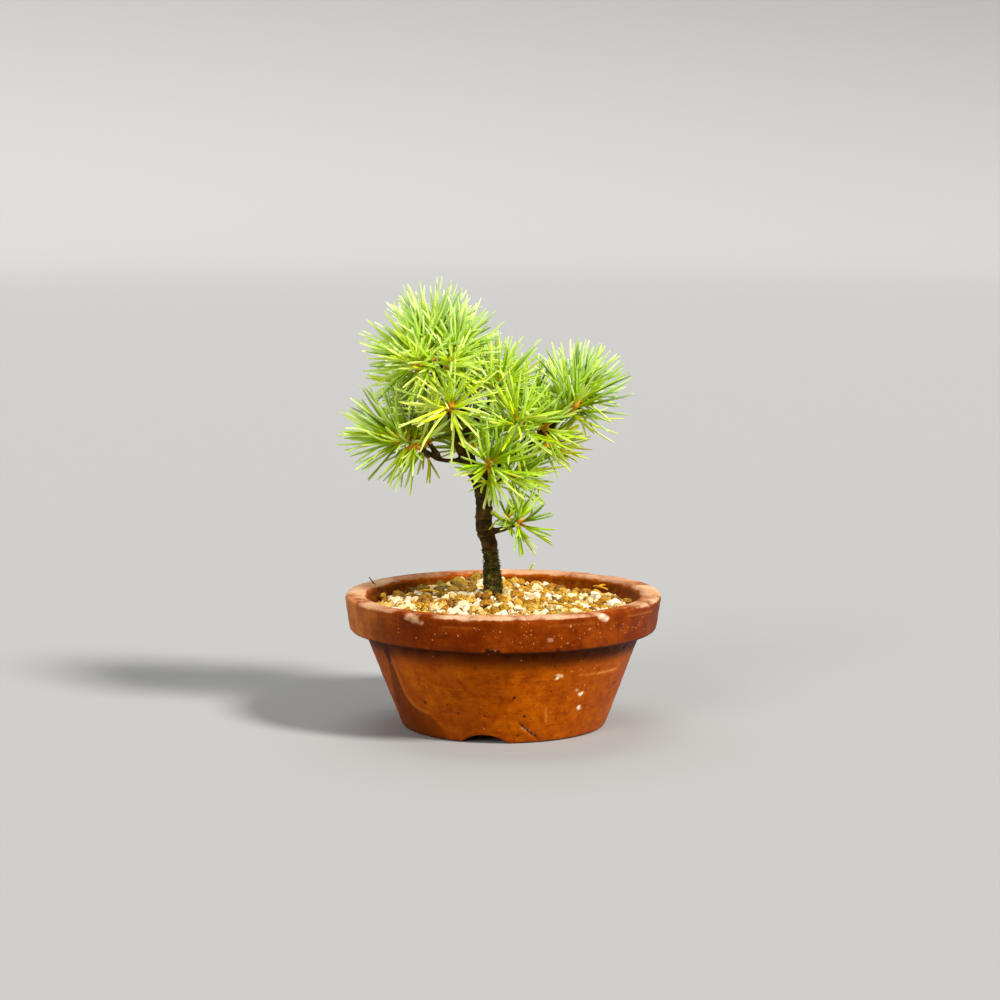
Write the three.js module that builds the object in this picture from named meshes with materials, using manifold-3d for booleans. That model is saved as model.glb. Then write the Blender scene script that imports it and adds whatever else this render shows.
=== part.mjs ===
// A young five-needle pine trained as a very small bonsai, in a banded terracotta pot.
// Millimetres, +Z up, the viewer towards -Y, and the origin at the middle of the pot's foot.
import * as THREE from "three";
import { mergeVertices } from "three/addons/utils/BufferGeometryUtils.js";
import Module from "manifold-3d";

const wasm = await Module();
wasm.setup();

// ---- Driving dimensions ----------------------------------------------------------------------

const GAP = 0.3; // between pieces that touch
const SLIVER = 0.05; // faces thinner than this are merged into their neighbours

// Pot: a straight tapered wall with a thick band round its mouth.
const RIM_RADIUS = 50;
const POT_HEIGHT = 42;
const FOOT_RADIUS = 32;
const WALL_FLARE = 0.385; // mm of radius for each mm of height
const WALL_THICKNESS = 4.4;
const BAND_HEIGHT = 11.4;
const BAND_TAPER = 1.7; // the band's radius is this much smaller at its lower edge
const BAND_EDGE_ROUND = 1.1;
const LIP_ROUND = 1.6;
const FOOT_RING_WIDTH = 6.5;
const FOOT_RECESS = 3;
const RECESS_SLOPE = 1.5;
const FOOT_BEVEL = 1.4;
const FLOOR_TOP = 7.5;
const FLOOR_FILLET = 2.5;
const DRAIN_RADIUS = 6;
const NOTCH_WIDTH = 14;
const NOTCH_HEIGHT = 2.4;
const NOTCH_COUNT = 3;
const FIRST_NOTCH_DEG = -101; // just left of the front
const POT_SIDES = 48;

// Plastic net over the drain hole.
const NET_SIDE = 18;
const NET_THICKNESS = 0.9;
const NET_STRAND = 1.2;
const NET_HOLES = 4; // along each side

// Soil: coarse granules on a mound round the trunk.
const SOIL_EDGE_HEIGHT = 38.2;
const MOUND_HEIGHT = 3.9;
const MOUND_SPREAD = 20;
const BACK_BANK_HEIGHT = 3.0; // soil banked against the back wall
const BACK_BANK_SPREAD = 18;
const BACK_BANK_X = -8;
const GRANULE_STEP = 4; // spacing of the triangular lattice that the granules lie on
const GRANULE_SCATTER = 0.75; // sideways from their places
const GRANULE_LIFT = 0.7; // up or down from the soil's surface
const HOLLOW_DEPTH = 1.3; // between three granules

// Trunk and branches.
const GROUND = 42.6; // where the trunk leaves the soil
const TRUNK_SIDES = 10;
const TWIG_SIDES = 5;
const TWIG_TIP_RADIUS = 0.9;

// Leafy shoots.
const SHOOT_RADIUS = 1.15;
const SHOOT_SIDES = 5;
const BUD_RADIUS = 1.35;
const NEEDLE_RADIUS = 0.5; // of the circle round its three-sided section
const NEEDLE_SIDES = 3;
const NEEDLE_CLEARANCE = 0.2; // between needles of two shoots
const OWN_CLEARANCE = -0.1; // between needles of one shoot, whose flat sides lie closer
const NEEDLE_DRAWS = 60; // directions tried before a needle is left out
const STRICT_SHARE = 0.8; // of those, the share that must clear the shoot's own needles too
const NEEDLE_SEED = 108;
const GOLDEN_ANGLE = Math.PI * (3 - Math.sqrt(5));
const LOWEST_LEAN = 1.7; // radians between a shoot and its lowest needles
const TOPMOST_LEAN = 0.42; // and its topmost ones
const LEAN_SPREAD = 0.16;
const ROOT_SHARE = 0.12; // of a needle's length, where it may touch its neighbours

// ---- Helpers ---------------------------------------------------------------------------------

const vec = (x, y, z) => new THREE.Vector3(x, y, z);
const lerp = THREE.MathUtils.lerp;
const smoothstep = THREE.MathUtils.smoothstep;

// The mulberry32 generator: the same draws for the same seed, from 0 to 1.
function seeded(seed) {
  let state = seed >>> 0;
  return () => {
    state = (state + 0x6d2b79f5) >>> 0;
    let t = Math.imul(state ^ (state >>> 15), 1 | state);
    t = (t + Math.imul(t ^ (t >>> 7), 61 | t)) ^ t;
    return ((t ^ (t >>> 14)) >>> 0) / 4294967296;
  };
}

// A closed three.js geometry as a solid that can be cut and joined.
function solidOf(geometry) {
  const bare = geometry.clone();
  bare.deleteAttribute("normal");
  bare.deleteAttribute("uv");
  const merged = mergeVertices(bare, 1e-4);
  return new wasm.Manifold(
    new wasm.Mesh({
      numProp: 3,
      vertProperties: new Float32Array(merged.attributes.position.array),
      triVerts: new Uint32Array(merged.index.array),
    }),
  );
}

// Joins closed geometries into one solid, without the needless points that the cuts leave.
const fused = (geometries) =>
  wasm.Manifold.union(geometries.map(solidOf)).asOriginal().simplify(SLIVER);

// A solid back as a three.js geometry, flat shaded.
function geometryOf(solid) {
  const { vertProperties, triVerts } = solid.getMesh();
  const indexed = new THREE.BufferGeometry()
    .setAttribute("position", new THREE.BufferAttribute(vertProperties, 3))
    .setIndex(new THREE.BufferAttribute(triVerts, 1));
  const faceted = indexed.toNonIndexed();
  faceted.computeVertexNormals();
  return faceted;
}

// Turns a closed profile of [radius, height] points, listed anticlockwise, about +Z.
function turned(profile, sides) {
  const points = [...profile, profile[0]].map(([r, z]) => new THREE.Vector2(r, z));
  return new THREE.LatheGeometry(points, sides).rotateX(Math.PI / 2);
}

// Sweeps a round section along a curve from share `from` to share `to` of its length.
// radiusAt(s) gives the section's radius at s from 0 to 1; with `pointed` the far end is one point.
function grown(curve, { from = 0, to = 1, rows, sides, radiusAt, pointed = false }) {
  const unit = new THREE.CylinderGeometry(pointed ? 0 : 1, 1, 1, sides, rows);
  const frames = curve.computeFrenetFrames(rows, false);
  const position = unit.attributes.position;
  for (let i = 0; i < position.count; i++) {
    const s = position.getY(i) + 0.5;
    const row = Math.round(s * rows);
    const angle = Math.atan2(position.getZ(i), position.getX(i));
    const onAxis = Math.hypot(position.getX(i), position.getZ(i)) < 1e-6;
    const reach = onAxis ? 0 : radiusAt(s);
    const at = curve.getPointAt(lerp(from, to, s));
    at.addScaledVector(frames.normals[row], reach * Math.cos(angle));
    at.addScaledVector(frames.binormals[row], -reach * Math.sin(angle));
    position.setXYZ(i, at.x, at.y, at.z);
  }
  return unit;
}

// ---- Pot -------------------------------------------------------------------------------------

const wallRadius = (z) => FOOT_RADIUS + WALL_FLARE * z;
const innerRadius = (z) => wallRadius(z) - WALL_THICKNESS;

function potSolid() {
  const bandBottom = POT_HEIGHT - BAND_HEIGHT;
  const bandFoot = RIM_RADIUS - BAND_TAPER;
  const ringInside = FOOT_RADIUS - FOOT_RING_WIDTH;
  const body = solidOf(
    turned(
      [
        [ringInside, 0],
        [FOOT_RADIUS - FOOT_BEVEL / 2, 0],
        [wallRadius(FOOT_BEVEL), FOOT_BEVEL],
        [wallRadius(bandBottom), bandBottom],
        [bandFoot - BAND_EDGE_ROUND, bandBottom],
        [bandFoot, bandBottom + BAND_EDGE_ROUND],
        [RIM_RADIUS, POT_HEIGHT - LIP_ROUND],
        [RIM_RADIUS - LIP_ROUND * 0.3, POT_HEIGHT - LIP_ROUND * 0.3],
        [RIM_RADIUS - LIP_ROUND, POT_HEIGHT],
        [innerRadius(POT_HEIGHT) + 1, POT_HEIGHT],
        [innerRadius(POT_HEIGHT - 1), POT_HEIGHT - 1],
        [innerRadius(FLOOR_TOP + FLOOR_FILLET), FLOOR_TOP + FLOOR_FILLET],
        [innerRadius(FLOOR_TOP) - FLOOR_FILLET * 0.5, FLOOR_TOP + FLOOR_FILLET * 0.2],
        [innerRadius(FLOOR_TOP) - FLOOR_FILLET, FLOOR_TOP],
        [DRAIN_RADIUS, FLOOR_TOP],
        [DRAIN_RADIUS, FOOT_RECESS],
        [ringInside - RECESS_SLOPE, FOOT_RECESS],
      ],
      POT_SIDES,
    ),
  );
  return wasm.Manifold.difference([body, ...footNotches()]);
}

// Shallow arches cut through the foot ring, so that water gets out from under the pot.
function footNotches() {
  const half = NOTCH_WIDTH / 2;
  const outline = new THREE.Shape()
    .moveTo(-half, -1)
    .lineTo(half, -1)
    .lineTo(half, 0)
    .quadraticCurveTo(half * 0.55, NOTCH_HEIGHT, 0, NOTCH_HEIGHT)
    .quadraticCurveTo(-half * 0.55, NOTCH_HEIGHT, -half, 0);
  const length = FOOT_RING_WIDTH + 8;
  return Array.from({ length: NOTCH_COUNT }, (_, i) => {
    const angle = THREE.MathUtils.degToRad(FIRST_NOTCH_DEG + (i * 360) / NOTCH_COUNT);
    const cutter = new THREE.ExtrudeGeometry(outline, {
      depth: length,
      bevelEnabled: false,
      curveSegments: 4,
    });
    // The outline's height becomes +Z and its depth runs outwards from inside the foot ring.
    cutter.rotateX(Math.PI / 2).rotateZ(Math.PI);
    cutter.translate(0, FOOT_RADIUS - FOOT_RING_WIDTH - 4, 0);
    cutter.rotateZ(angle - Math.PI / 2);
    return solidOf(cutter);
  });
}

// ---- Net over the drain hole -----------------------------------------------------------------

function netSolid() {
  const pitch = (NET_SIDE - NET_STRAND) / NET_HOLES;
  const hole = pitch - NET_STRAND;
  const across = Array.from({ length: NET_HOLES }, (_, i) => (i - (NET_HOLES - 1) / 2) * pitch);
  const sheet = solidOf(new THREE.BoxGeometry(NET_SIDE, NET_SIDE, NET_THICKNESS));
  const holes = across.flatMap((x) =>
    across.map((y) =>
      solidOf(new THREE.BoxGeometry(hole, hole, 2 * NET_THICKNESS).translate(x, y, 0)),
    ),
  );
  return wasm.Manifold.difference([sheet, ...holes]).asOriginal().simplify(SLIVER);
}

// ---- Tree: the routes of its wood --------------------------------------------------------------

const TRUNK_ROUTE = new THREE.CatmullRomCurve3(
  [
    vec(-2.4, 4.4, 20),
    vec(-3.0, 4.2, 32),
    vec(-3.6, 4.0, GROUND),
    vec(-4.3, 3.9, 55.5),
    vec(-5.9, 3.5, 62.5),
    vec(-6.1, 3.0, 69.5),
    vec(-7.3, 2.2, 77.0),
    vec(-10.8, 1.5, 82.7),
    vec(-13.3, 1.0, 88.0),
    vec(-15.8, 0.9, 96.3),
    vec(-17.4, 0.7, 102),
    vec(-20.2, 0.3, 108),
    vec(-22.3, 0.0, 112.7),
  ],
  false,
  "centripetal",
);
const TRUNK_ROWS = 20;

// The trunk's radius by height: a swollen butt, a waist, a collar at the lowest fork, a thin top.
function trunkRadius(z) {
  const stops = [
    [20, 1.6],
    [32, 2.5],
    [GROUND, 3.15],
    [50, 2.9],
    [57, 2.6],
    [69, 2.35],
    [77, 2.5],
    [84, 1.85],
    [96, 1.5],
    [104, 1.25],
    [113, 1.0],
  ];
  const next = stops.findIndex(([height]) => height >= z);
  if (next === 0) return stops[0][1];
  if (next < 0) return stops.at(-1)[1];
  const [low, high] = [stops[next - 1], stops[next]];
  return lerp(low[1], high[1], smoothstep(z, low[0], high[0]));
}

// Each shoot: the route of its stem from inside the parent wood to the bud, the stem's radius where
// it starts, the length of its leafy end, how many needles it carries and how long they are.
const SHOOTS = {
  crown_left: {
    route: [vec(-21.6, 0.1, 111), vec(-24.4, -0.8, 114), vec(-28.2, -2, 117.2)],
    start: 1.0, leafy: 5.5, needles: 52, length: 18,
  },
  crown_top: {
    route: [vec(-22, 0, 111.5), vec(-23, 0.6, 117), vec(-22.8, 1, 123.6)],
    start: 1.0, leafy: 7, needles: 64, length: 17.5,
  },
  crown_right: {
    route: [vec(-20.4, 0.3, 108.4), vec(-17, -1.2, 114), vec(-13.4, -3, 119.8)],
    start: 1.0, leafy: 7, needles: 59, length: 17,
  },
  crown_front: {
    route: [vec(-21.8, 0.2, 111.6), vec(-21, -5, 115), vec(-19.4, -11.5, 118.6)],
    start: 1.0, leafy: 6, needles: 52, length: 16.5,
  },
  crown_back: {
    route: [vec(-21.8, 0.2, 111.6), vec(-21.6, 6, 115), vec(-20.4, 13, 119)],
    start: 1.0, leafy: 6.5, needles: 52, length: 17,
  },
  crown_low: {
    route: [vec(-19, 0.5, 105.6), vec(-24, 5, 107), vec(-29, 9.5, 107.5)],
    start: 1.0, leafy: 6, needles: 47, length: 16,
  },
  star: {
    route: [vec(-15.7, 0.9, 95.8), vec(-16.4, -5.5, 99.3), vec(-16.3, -12.5, 102.1)],
    start: 1.1, leafy: 5.5, needles: 54, length: 18,
  },
  upper_middle: {
    route: [vec(-13.8, 1, 89.6), vec(-8, -0.6, 97), vec(-0.2, -3.2, 109.6)],
    start: 1.1, leafy: 7, needles: 50, length: 16,
  },
  upper_back: {
    route: [vec(-15.6, 0.9, 95.4), vec(-11.4, 5.4, 101), vec(-6.6, 10, 108.4)],
    start: 1.1, leafy: 7, needles: 47, length: 16,
  },
  right_tip: {
    route: [
      vec(-7.4, 2.2, 77.4),
      vec(1, 3, 83),
      vec(8.6, 2.2, 88),
      vec(16.6, -0.2, 95.6),
      vec(23.6, -4, 102.8),
    ],
    start: 1.9, leafy: 6.5, needles: 59, length: 18,
  },
  right_high: {
    route: [vec(14.4, 0.6, 93.4), vec(18, 2.4, 99), vec(23.2, 3.4, 107.6)],
    start: 1.1, leafy: 6.5, needles: 52, length: 16.5,
  },
  middle_front: {
    route: [vec(2.6, 2.9, 84.2), vec(4.2, -4, 91), vec(4.4, -11.5, 98)],
    start: 1.1, leafy: 6, needles: 52, length: 16,
  },
  right_low: {
    route: [vec(5.6, 2.7, 86), vec(10, 4.2, 86.6), vec(15.2, 4.8, 86.2)],
    start: 1.1, leafy: 6, needles: 42, length: 14,
  },
  right_back: {
    route: [vec(6.6, 2.5, 86.6), vec(8.4, 8.4, 93), vec(9, 14.5, 101.4)],
    start: 1.1, leafy: 6.5, needles: 50, length: 16.5,
  },
  front_low: {
    route: [vec(-7.4, 2.1, 77.6), vec(-5.8, -6, 80.8), vec(-3.6, -14.6, 84.8)],
    start: 1.2, leafy: 5.5, needles: 50, length: 16,
  },
  low_right: {
    route: [vec(-6.8, 2.6, 73.6), vec(-1.6, -2, 77.6), vec(5.4, -4.6, 79.8)],
    start: 1.1, leafy: 5.5, needles: 38, length: 14.5,
  },
  low_twig: {
    route: [vec(-5.5, 3.6, 60.4), vec(-0.6, -1.6, 62), vec(5.6, -6.4, 65.6)],
    start: 0.9, leafy: 6, needles: 42, length: 11.5,
  },
  left_tip: {
    route: [vec(-11.4, 1.4, 83.6), vec(-19.4, -1, 84), vec(-27, -3.2, 88.4), vec(-36.6, -5, 92.6)],
    start: 1.3, leafy: 7.5, needles: 59, length: 17,
  },
  left_inner: {
    route: [vec(-20, -1.2, 84.3), vec(-23, 2.6, 88.6), vec(-26.2, 7, 94.4)],
    start: 1.0, leafy: 6, needles: 45, length: 15,
  },
  low_back: {
    route: [vec(-8.6, 2, 79.2), vec(-9.8, 9, 84), vec(-11, 16, 88.8)],
    start: 1.1, leafy: 6, needles: 50, length: 16.5,
  },
};

const TWIG_ROWS = 4;

const shoots = Object.entries(SHOOTS).map(([name, shoot]) => {
  const curve = new THREE.CatmullRomCurve3(shoot.route, false, "centripetal");
  const leafyFrom = 1 - shoot.leafy / curve.getLength();
  return { name, curve, leafyFrom, ...shoot };
});

function woodSolid() {
  const trunk = grown(TRUNK_ROUTE, {
    rows: TRUNK_ROWS,
    sides: TRUNK_SIDES,
    radiusAt: (s) => trunkRadius(TRUNK_ROUTE.getPointAt(s).z),
  });
  const twigs = shoots.map(({ curve, leafyFrom, start }) =>
    grown(curve, {
      to: leafyFrom - GAP / curve.getLength(),
      rows: TWIG_ROWS,
      sides: TWIG_SIDES,
      radiusAt: (s) => lerp(start, TWIG_TIP_RADIUS, s),
    }),
  );
  return fused([trunk, ...twigs]);
}

// ---- Soil ------------------------------------------------------------------------------------

// The soil's surface: low at the wall, mounded round the trunk, banked at the back.
function soilHeight(x, y) {
  const butt = TRUNK_ROUTE.points[2];
  const fromTrunk = Math.hypot(x - butt.x, y - butt.y) / MOUND_SPREAD;
  const fromBank = Math.hypot(x - BACK_BANK_X, y - innerRadius(POT_HEIGHT)) / BACK_BANK_SPREAD;
  return (
    SOIL_EDGE_HEIGHT +
    MOUND_HEIGHT * Math.exp(-(fromTrunk ** 2)) +
    BACK_BANK_HEIGHT * Math.exp(-(fromBank ** 2))
  );
}

// A number from 0 to 1 for a place in a lattice: what a large multiple of a sine leaves after its
// whole part.
function chance(column, row, kind) {
  const wave = Math.sin(column * 12.9898 + row * 78.233 + kind * 37.719) * 43758.5453;
  return wave - Math.floor(wave);
}

// The top of one granule of the lattice, shifted from its place and from the soil's surface.
function granuleTop(column, row) {
  const [shiftX, shiftY, shiftZ] = [1, 2, 3].map((kind) => 2 * chance(column, row, kind) - 1);
  const x = (column + row / 2) * GRANULE_STEP + shiftX * GRANULE_SCATTER;
  const y = row * GRANULE_STEP * Math.sin(Math.PI / 3) + shiftY * GRANULE_SCATTER;
  return vec(x, y, soilHeight(x, y) + shiftZ * GRANULE_LIFT);
}

// A block whose top is a triangular lattice of granules, with a hollow between every three.
function granularBlock() {
  const half = innerRadius(POT_HEIGHT) + 2 * GRANULE_STEP;
  const rows = Math.ceil(half / (GRANULE_STEP * Math.sin(Math.PI / 3)));
  const columns = Math.ceil(half / GRANULE_STEP + rows / 2);
  const across = 2 * columns + 1;
  const places = across * (2 * rows + 1);
  const number = (column, row) => (row + rows) * across + column + columns;
  const points = [];
  const faces = [];
  for (let row = -rows; row <= rows; row++) {
    for (let column = -columns; column <= columns; column++) {
      points.push(granuleTop(column, row));
    }
  }
  points.push(...points.map(({ x, y }) => vec(x, y, 0)));
  const cover = (a, b, c) => {
    const hollow = points[a].clone().add(points[b]).add(points[c]).divideScalar(3);
    hollow.z -= HOLLOW_DEPTH;
    const middle = points.push(hollow) - 1;
    faces.push([a, b, middle], [b, c, middle], [c, a, middle]);
    faces.push([a + places, c + places, b + places]);
  };
  for (let row = -rows; row < rows; row++) {
    for (let column = -columns; column < columns; column++) {
      const [a, b] = [number(column, row), number(column + 1, row)];
      const [c, d] = [number(column, row + 1), number(column + 1, row + 1)];
      cover(a, b, c);
      cover(b, d, c);
    }
  }
  const skirt = (a, b) => faces.push([a, a + places, b + places], [a, b + places, b]);
  for (let column = -columns; column < columns; column++) {
    skirt(number(column, -rows), number(column + 1, -rows));
    skirt(number(column + 1, rows), number(column, rows));
  }
  for (let row = -rows; row < rows; row++) {
    skirt(number(columns, row), number(columns, row + 1));
    skirt(number(-columns, row + 1), number(-columns, row));
  }
  const block = new THREE.BufferGeometry().setFromPoints(points).setIndex(faces.flat());
  return solidOf(block);
}

function soilSolid(netTop) {
  const bottom = FLOOR_TOP + GAP;
  const soilRadius = (z) => innerRadius(z) - GAP;
  const fill = solidOf(
    turned(
      [
        [0, bottom],
        [soilRadius(FLOOR_TOP) - FLOOR_FILLET, bottom],
        [soilRadius(FLOOR_TOP + FLOOR_FILLET), FLOOR_TOP + FLOOR_FILLET],
        [soilRadius(POT_HEIGHT - 1.2), POT_HEIGHT - 1.2],
        [soilRadius(POT_HEIGHT - 1.2) - 4, POT_HEIGHT + 10],
        [0, POT_HEIGHT + 10],
      ],
      POT_SIDES,
    ),
  );
  const netSpace = solidOf(
    new THREE.BoxGeometry(NET_SIDE + 2 * GAP, NET_SIDE + 2 * GAP, 2 * (netTop + GAP)),
  );
  const trunkHole = solidOf(
    grown(TRUNK_ROUTE, {
      rows: TRUNK_ROWS,
      sides: TRUNK_SIDES,
      radiusAt: (s) => trunkRadius(TRUNK_ROUTE.getPointAt(s).z) + GAP,
    }),
  );
  const trunkEnd = TRUNK_ROUTE.points[0];
  const socketRadius = trunkRadius(trunkEnd.z) + GAP;
  const socketEnd = solidOf(
    new THREE.CylinderGeometry(socketRadius, socketRadius, 4 * GAP, TRUNK_SIDES)
      .rotateX(Math.PI / 2)
      .translate(trunkEnd.x, trunkEnd.y, trunkEnd.z + GAP),
  );
  const shaped = fill.intersect(granularBlock());
  return wasm.Manifold.difference([shaped, netSpace, trunkHole, socketEnd])
    .asOriginal()
    .simplify(SLIVER);
}

// ---- Needles ---------------------------------------------------------------------------------

// The shortest way between segments a-b and c-d: its length, and where along each it starts and ends.
function shortestWay(a, b, c, d) {
  const u = b.clone().sub(a);
  const v = d.clone().sub(c);
  const w = a.clone().sub(c);
  const uu = u.dot(u);
  const uv = u.dot(v);
  const vv = v.dot(v);
  const uw = u.dot(w);
  const vw = v.dot(w);
  const den = uu * vv - uv * uv;
  let s = den > 1e-9 ? THREE.MathUtils.clamp((uv * vw - vv * uw) / den, 0, 1) : 0;
  let t = (uv * s + vw) / vv;
  if (t < 0 || t > 1) {
    t = THREE.MathUtils.clamp(t, 0, 1);
    s = THREE.MathUtils.clamp((uv * t - uw) / uu, 0, 1);
  }
  return { s, t, distance: w.addScaledVector(u, s).addScaledVector(v, -t).length() };
}

// What a needle has to stay clear of: wood and shoots as thick segments, and the needles so far.
function obstacles() {
  const list = [];
  const add = (owner, curve, from, to, steps, radiusAt) => {
    for (let i = 0; i < steps; i++) {
      const s = i / steps;
      const e = (i + 1) / steps;
      const start = curve.getPointAt(lerp(from, to, s));
      const end = curve.getPointAt(lerp(from, to, e));
      list.push({ owner, start, end, radius: Math.max(radiusAt(s), radiusAt(e)) });
    }
  };
  add("wood", TRUNK_ROUTE, 0, 1, TRUNK_ROWS, (s) => trunkRadius(TRUNK_ROUTE.getPointAt(s).z));
  for (const { name, curve, leafyFrom, start } of shoots) {
    add("wood", curve, 0, leafyFrom, TWIG_ROWS, (s) => lerp(start, TWIG_TIP_RADIUS, s));
    add(name, curve, leafyFrom, 1, 2, () => BUD_RADIUS);
  }
  return list;
}

// Draws one needle of a shoot as its root and tip. The roots wind up the shoot by the golden angle,
// and a needle leans more along the shoot the nearer it is to the bud.
function drawNeedle({ curve, leafyFrom, needles, length }, index, attempt, draw) {
  const wander = LEAN_SPREAD * (1 + attempt / 10);
  const up = (index + 0.5) / needles;
  const share = lerp(leafyFrom, 1, lerp(0.06, 0.86, up));
  const root = curve.getPointAt(share);
  const along = curve.getTangentAt(share);
  const side = vec(0, 0, 1).cross(along).normalize();
  const over = along.clone().cross(side);
  const turn = index * GOLDEN_ANGLE + (2 * draw() - 1) * wander;
  const lean = lerp(LOWEST_LEAN, TOPMOST_LEAN, up) + (2 * draw() - 1) * wander;
  const reach = length * lerp(0.84, 1.08, draw());
  const tip = root
    .clone()
    .addScaledVector(along, reach * Math.cos(lean))
    .addScaledVector(side, reach * Math.sin(lean) * Math.cos(turn))
    .addScaledVector(over, reach * Math.sin(lean) * Math.sin(turn));
  return { root, tip, free: root.clone().lerp(tip, ROOT_SHARE) };
}

// Whether a needle keeps clear of everything that isn't its own shoot and, with `strict`, of its
// own shoot's needles too, once they have left the bark.
function isClear({ root, free, tip }, owner, taken, strict) {
  const limit = RIM_RADIUS - NEEDLE_RADIUS;
  if (Math.abs(tip.x) > limit || Math.abs(tip.y) > limit) return false;
  return taken.every((other) => {
    const own = other.owner === owner;
    if (own && !(strict && other.needle)) return true;
    const { s, t, distance } = shortestWay(own ? free : root, tip, other.start, other.end);
    const radii = NEEDLE_RADIUS * (1 - s) + other.radius * (other.needle ? 1 - t : 1);
    return distance > radii + (own ? OWN_CLEARANCE : NEEDLE_CLEARANCE);
  });
}

// Grows the shoots' needles in turn, one each, so that all get their share of the room.
function growNeedles() {
  const draw = seeded(NEEDLE_SEED);
  const taken = obstacles();
  const grownNeedles = Object.fromEntries(shoots.map(({ name }) => [name, []]));
  const most = Math.max(...shoots.map(({ needles }) => needles));
  for (let index = 0; index < most; index++) {
    for (const shoot of shoots.filter(({ needles }) => index < needles)) {
      for (let attempt = 0; attempt < NEEDLE_DRAWS; attempt++) {
        const needle = drawNeedle(shoot, index, attempt, draw);
        const strict = attempt < NEEDLE_DRAWS * STRICT_SHARE;
        if (!isClear(needle, shoot.name, taken, strict)) continue;
        grownNeedles[shoot.name].push(needle);
        const { free: start, tip: end } = needle;
        taken.push({ owner: shoot.name, radius: NEEDLE_RADIUS, needle: true, start, end });
        break;
      }
    }
  }
  return grownNeedles;
}

// A three-sided needle, straight and pointed.
function needleGeometry({ root, tip }) {
  const along = tip.clone().sub(root);
  return new THREE.ConeGeometry(NEEDLE_RADIUS, along.length(), NEEDLE_SIDES, 1)
    .translate(0, along.length() / 2, 0)
    .applyQuaternion(new THREE.Quaternion().setFromUnitVectors(vec(0, 1, 0), along.normalize()))
    .translate(root.x, root.y, root.z);
}

// The leafy end of a shoot: a slim stem that swells and ends in a pointed bud, with its needles.
function spraySolid({ curve, leafyFrom }, needles) {
  const stem = grown(curve, {
    from: leafyFrom,
    rows: 3,
    sides: SHOOT_SIDES,
    pointed: true,
    radiusAt: (s) => (s < 0.5 ? lerp(SHOOT_RADIUS, BUD_RADIUS, 2 * s) : BUD_RADIUS),
  });
  return fused([stem, ...needles.map(needleGeometry)]);
}

// ---- The object ------------------------------------------------------------------------------

const matte = (color, roughness) => new THREE.MeshStandardMaterial({ color, roughness, metalness: 0 });
const terracotta = matte("#a4521c", 0.7);
const netPlastic = matte("#23231f", 0.6);
const grit = matte("#b98a45", 0.95);
const bark = matte("#3a2818", 0.85);
const needleGreen = matte("#86b43a", 0.5);

const bonsai = new THREE.Group();

function place(name, geometry, material, lift = 0) {
  const mesh = new THREE.Mesh(geometry, material);
  mesh.name = name;
  mesh.position.z = lift;
  bonsai.add(mesh);
}

const netLift = FLOOR_TOP + GAP + NET_THICKNESS / 2;
place("pot", geometryOf(potSolid()), terracotta);
place("drain_net", geometryOf(netSolid()), netPlastic, netLift);
place("soil", geometryOf(soilSolid(netLift + NET_THICKNESS / 2)), grit);
place("trunk_and_branches", geometryOf(woodSolid()), bark);

const needlesByShoot = growNeedles();
for (const shoot of shoots) {
  const spray = spraySolid(shoot, needlesByShoot[shoot.name]);
  place(`needles_${shoot.name}`, geometryOf(spray), needleGreen);
}

export default bonsai;
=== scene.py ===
"""A young five-needle pine trained as a very small bonsai, in a banded terracotta pot.

Lengths are millimetres in the part's own frame: +Z up, the viewer towards -Y, and the origin at the
middle of the pot's foot. new_piece() turns them to metres when it fills a mesh.
"""

import math

import bpy
import numpy as np
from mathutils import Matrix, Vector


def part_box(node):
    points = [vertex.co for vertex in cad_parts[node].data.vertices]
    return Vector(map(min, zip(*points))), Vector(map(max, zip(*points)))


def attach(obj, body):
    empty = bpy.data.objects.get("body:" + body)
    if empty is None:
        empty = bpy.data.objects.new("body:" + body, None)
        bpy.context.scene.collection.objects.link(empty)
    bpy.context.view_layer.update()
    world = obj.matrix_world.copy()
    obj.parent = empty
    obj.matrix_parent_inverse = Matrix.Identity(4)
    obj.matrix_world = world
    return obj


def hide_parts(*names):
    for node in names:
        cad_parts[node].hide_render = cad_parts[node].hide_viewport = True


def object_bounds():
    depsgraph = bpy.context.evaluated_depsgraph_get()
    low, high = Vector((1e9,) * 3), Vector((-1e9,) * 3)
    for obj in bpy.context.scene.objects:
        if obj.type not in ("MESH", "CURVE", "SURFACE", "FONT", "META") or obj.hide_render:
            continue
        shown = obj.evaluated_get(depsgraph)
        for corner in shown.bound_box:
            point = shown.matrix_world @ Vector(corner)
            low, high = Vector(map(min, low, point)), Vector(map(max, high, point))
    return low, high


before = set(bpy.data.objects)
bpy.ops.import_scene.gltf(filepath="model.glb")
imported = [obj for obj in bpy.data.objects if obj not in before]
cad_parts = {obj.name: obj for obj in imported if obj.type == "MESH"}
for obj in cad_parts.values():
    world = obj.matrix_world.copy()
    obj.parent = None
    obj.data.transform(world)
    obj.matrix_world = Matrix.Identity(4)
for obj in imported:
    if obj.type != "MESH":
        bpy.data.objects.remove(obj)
cad_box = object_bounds()

MM = 0.001

# ---- Dimensions ----

# Pot.
POT_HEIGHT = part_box("pot")[1][2] / MM
RIM_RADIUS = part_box("pot")[1][0] / MM
FOOT_RADIUS = 32.0
WALL_FLARE = 0.385  # of radius for each mm of height
WALL_THICKNESS = 4.4
BAND_HEIGHT = 11.4
BAND_TAPER = 1.7
BAND_BOTTOM = POT_HEIGHT - BAND_HEIGHT
FOOT_RING_WIDTH = 6.5
FOOT_RECESS = 3.0
FLOOR_TOP = 7.5
DRAIN_RADIUS = 6.0
NOTCH_HALF_WIDTH = 7.0
NOTCH_HEIGHT = 2.4
NOTCH_DEGREES = (-101.0, 19.0, 139.0)
POT_COLUMNS = 480

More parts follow.
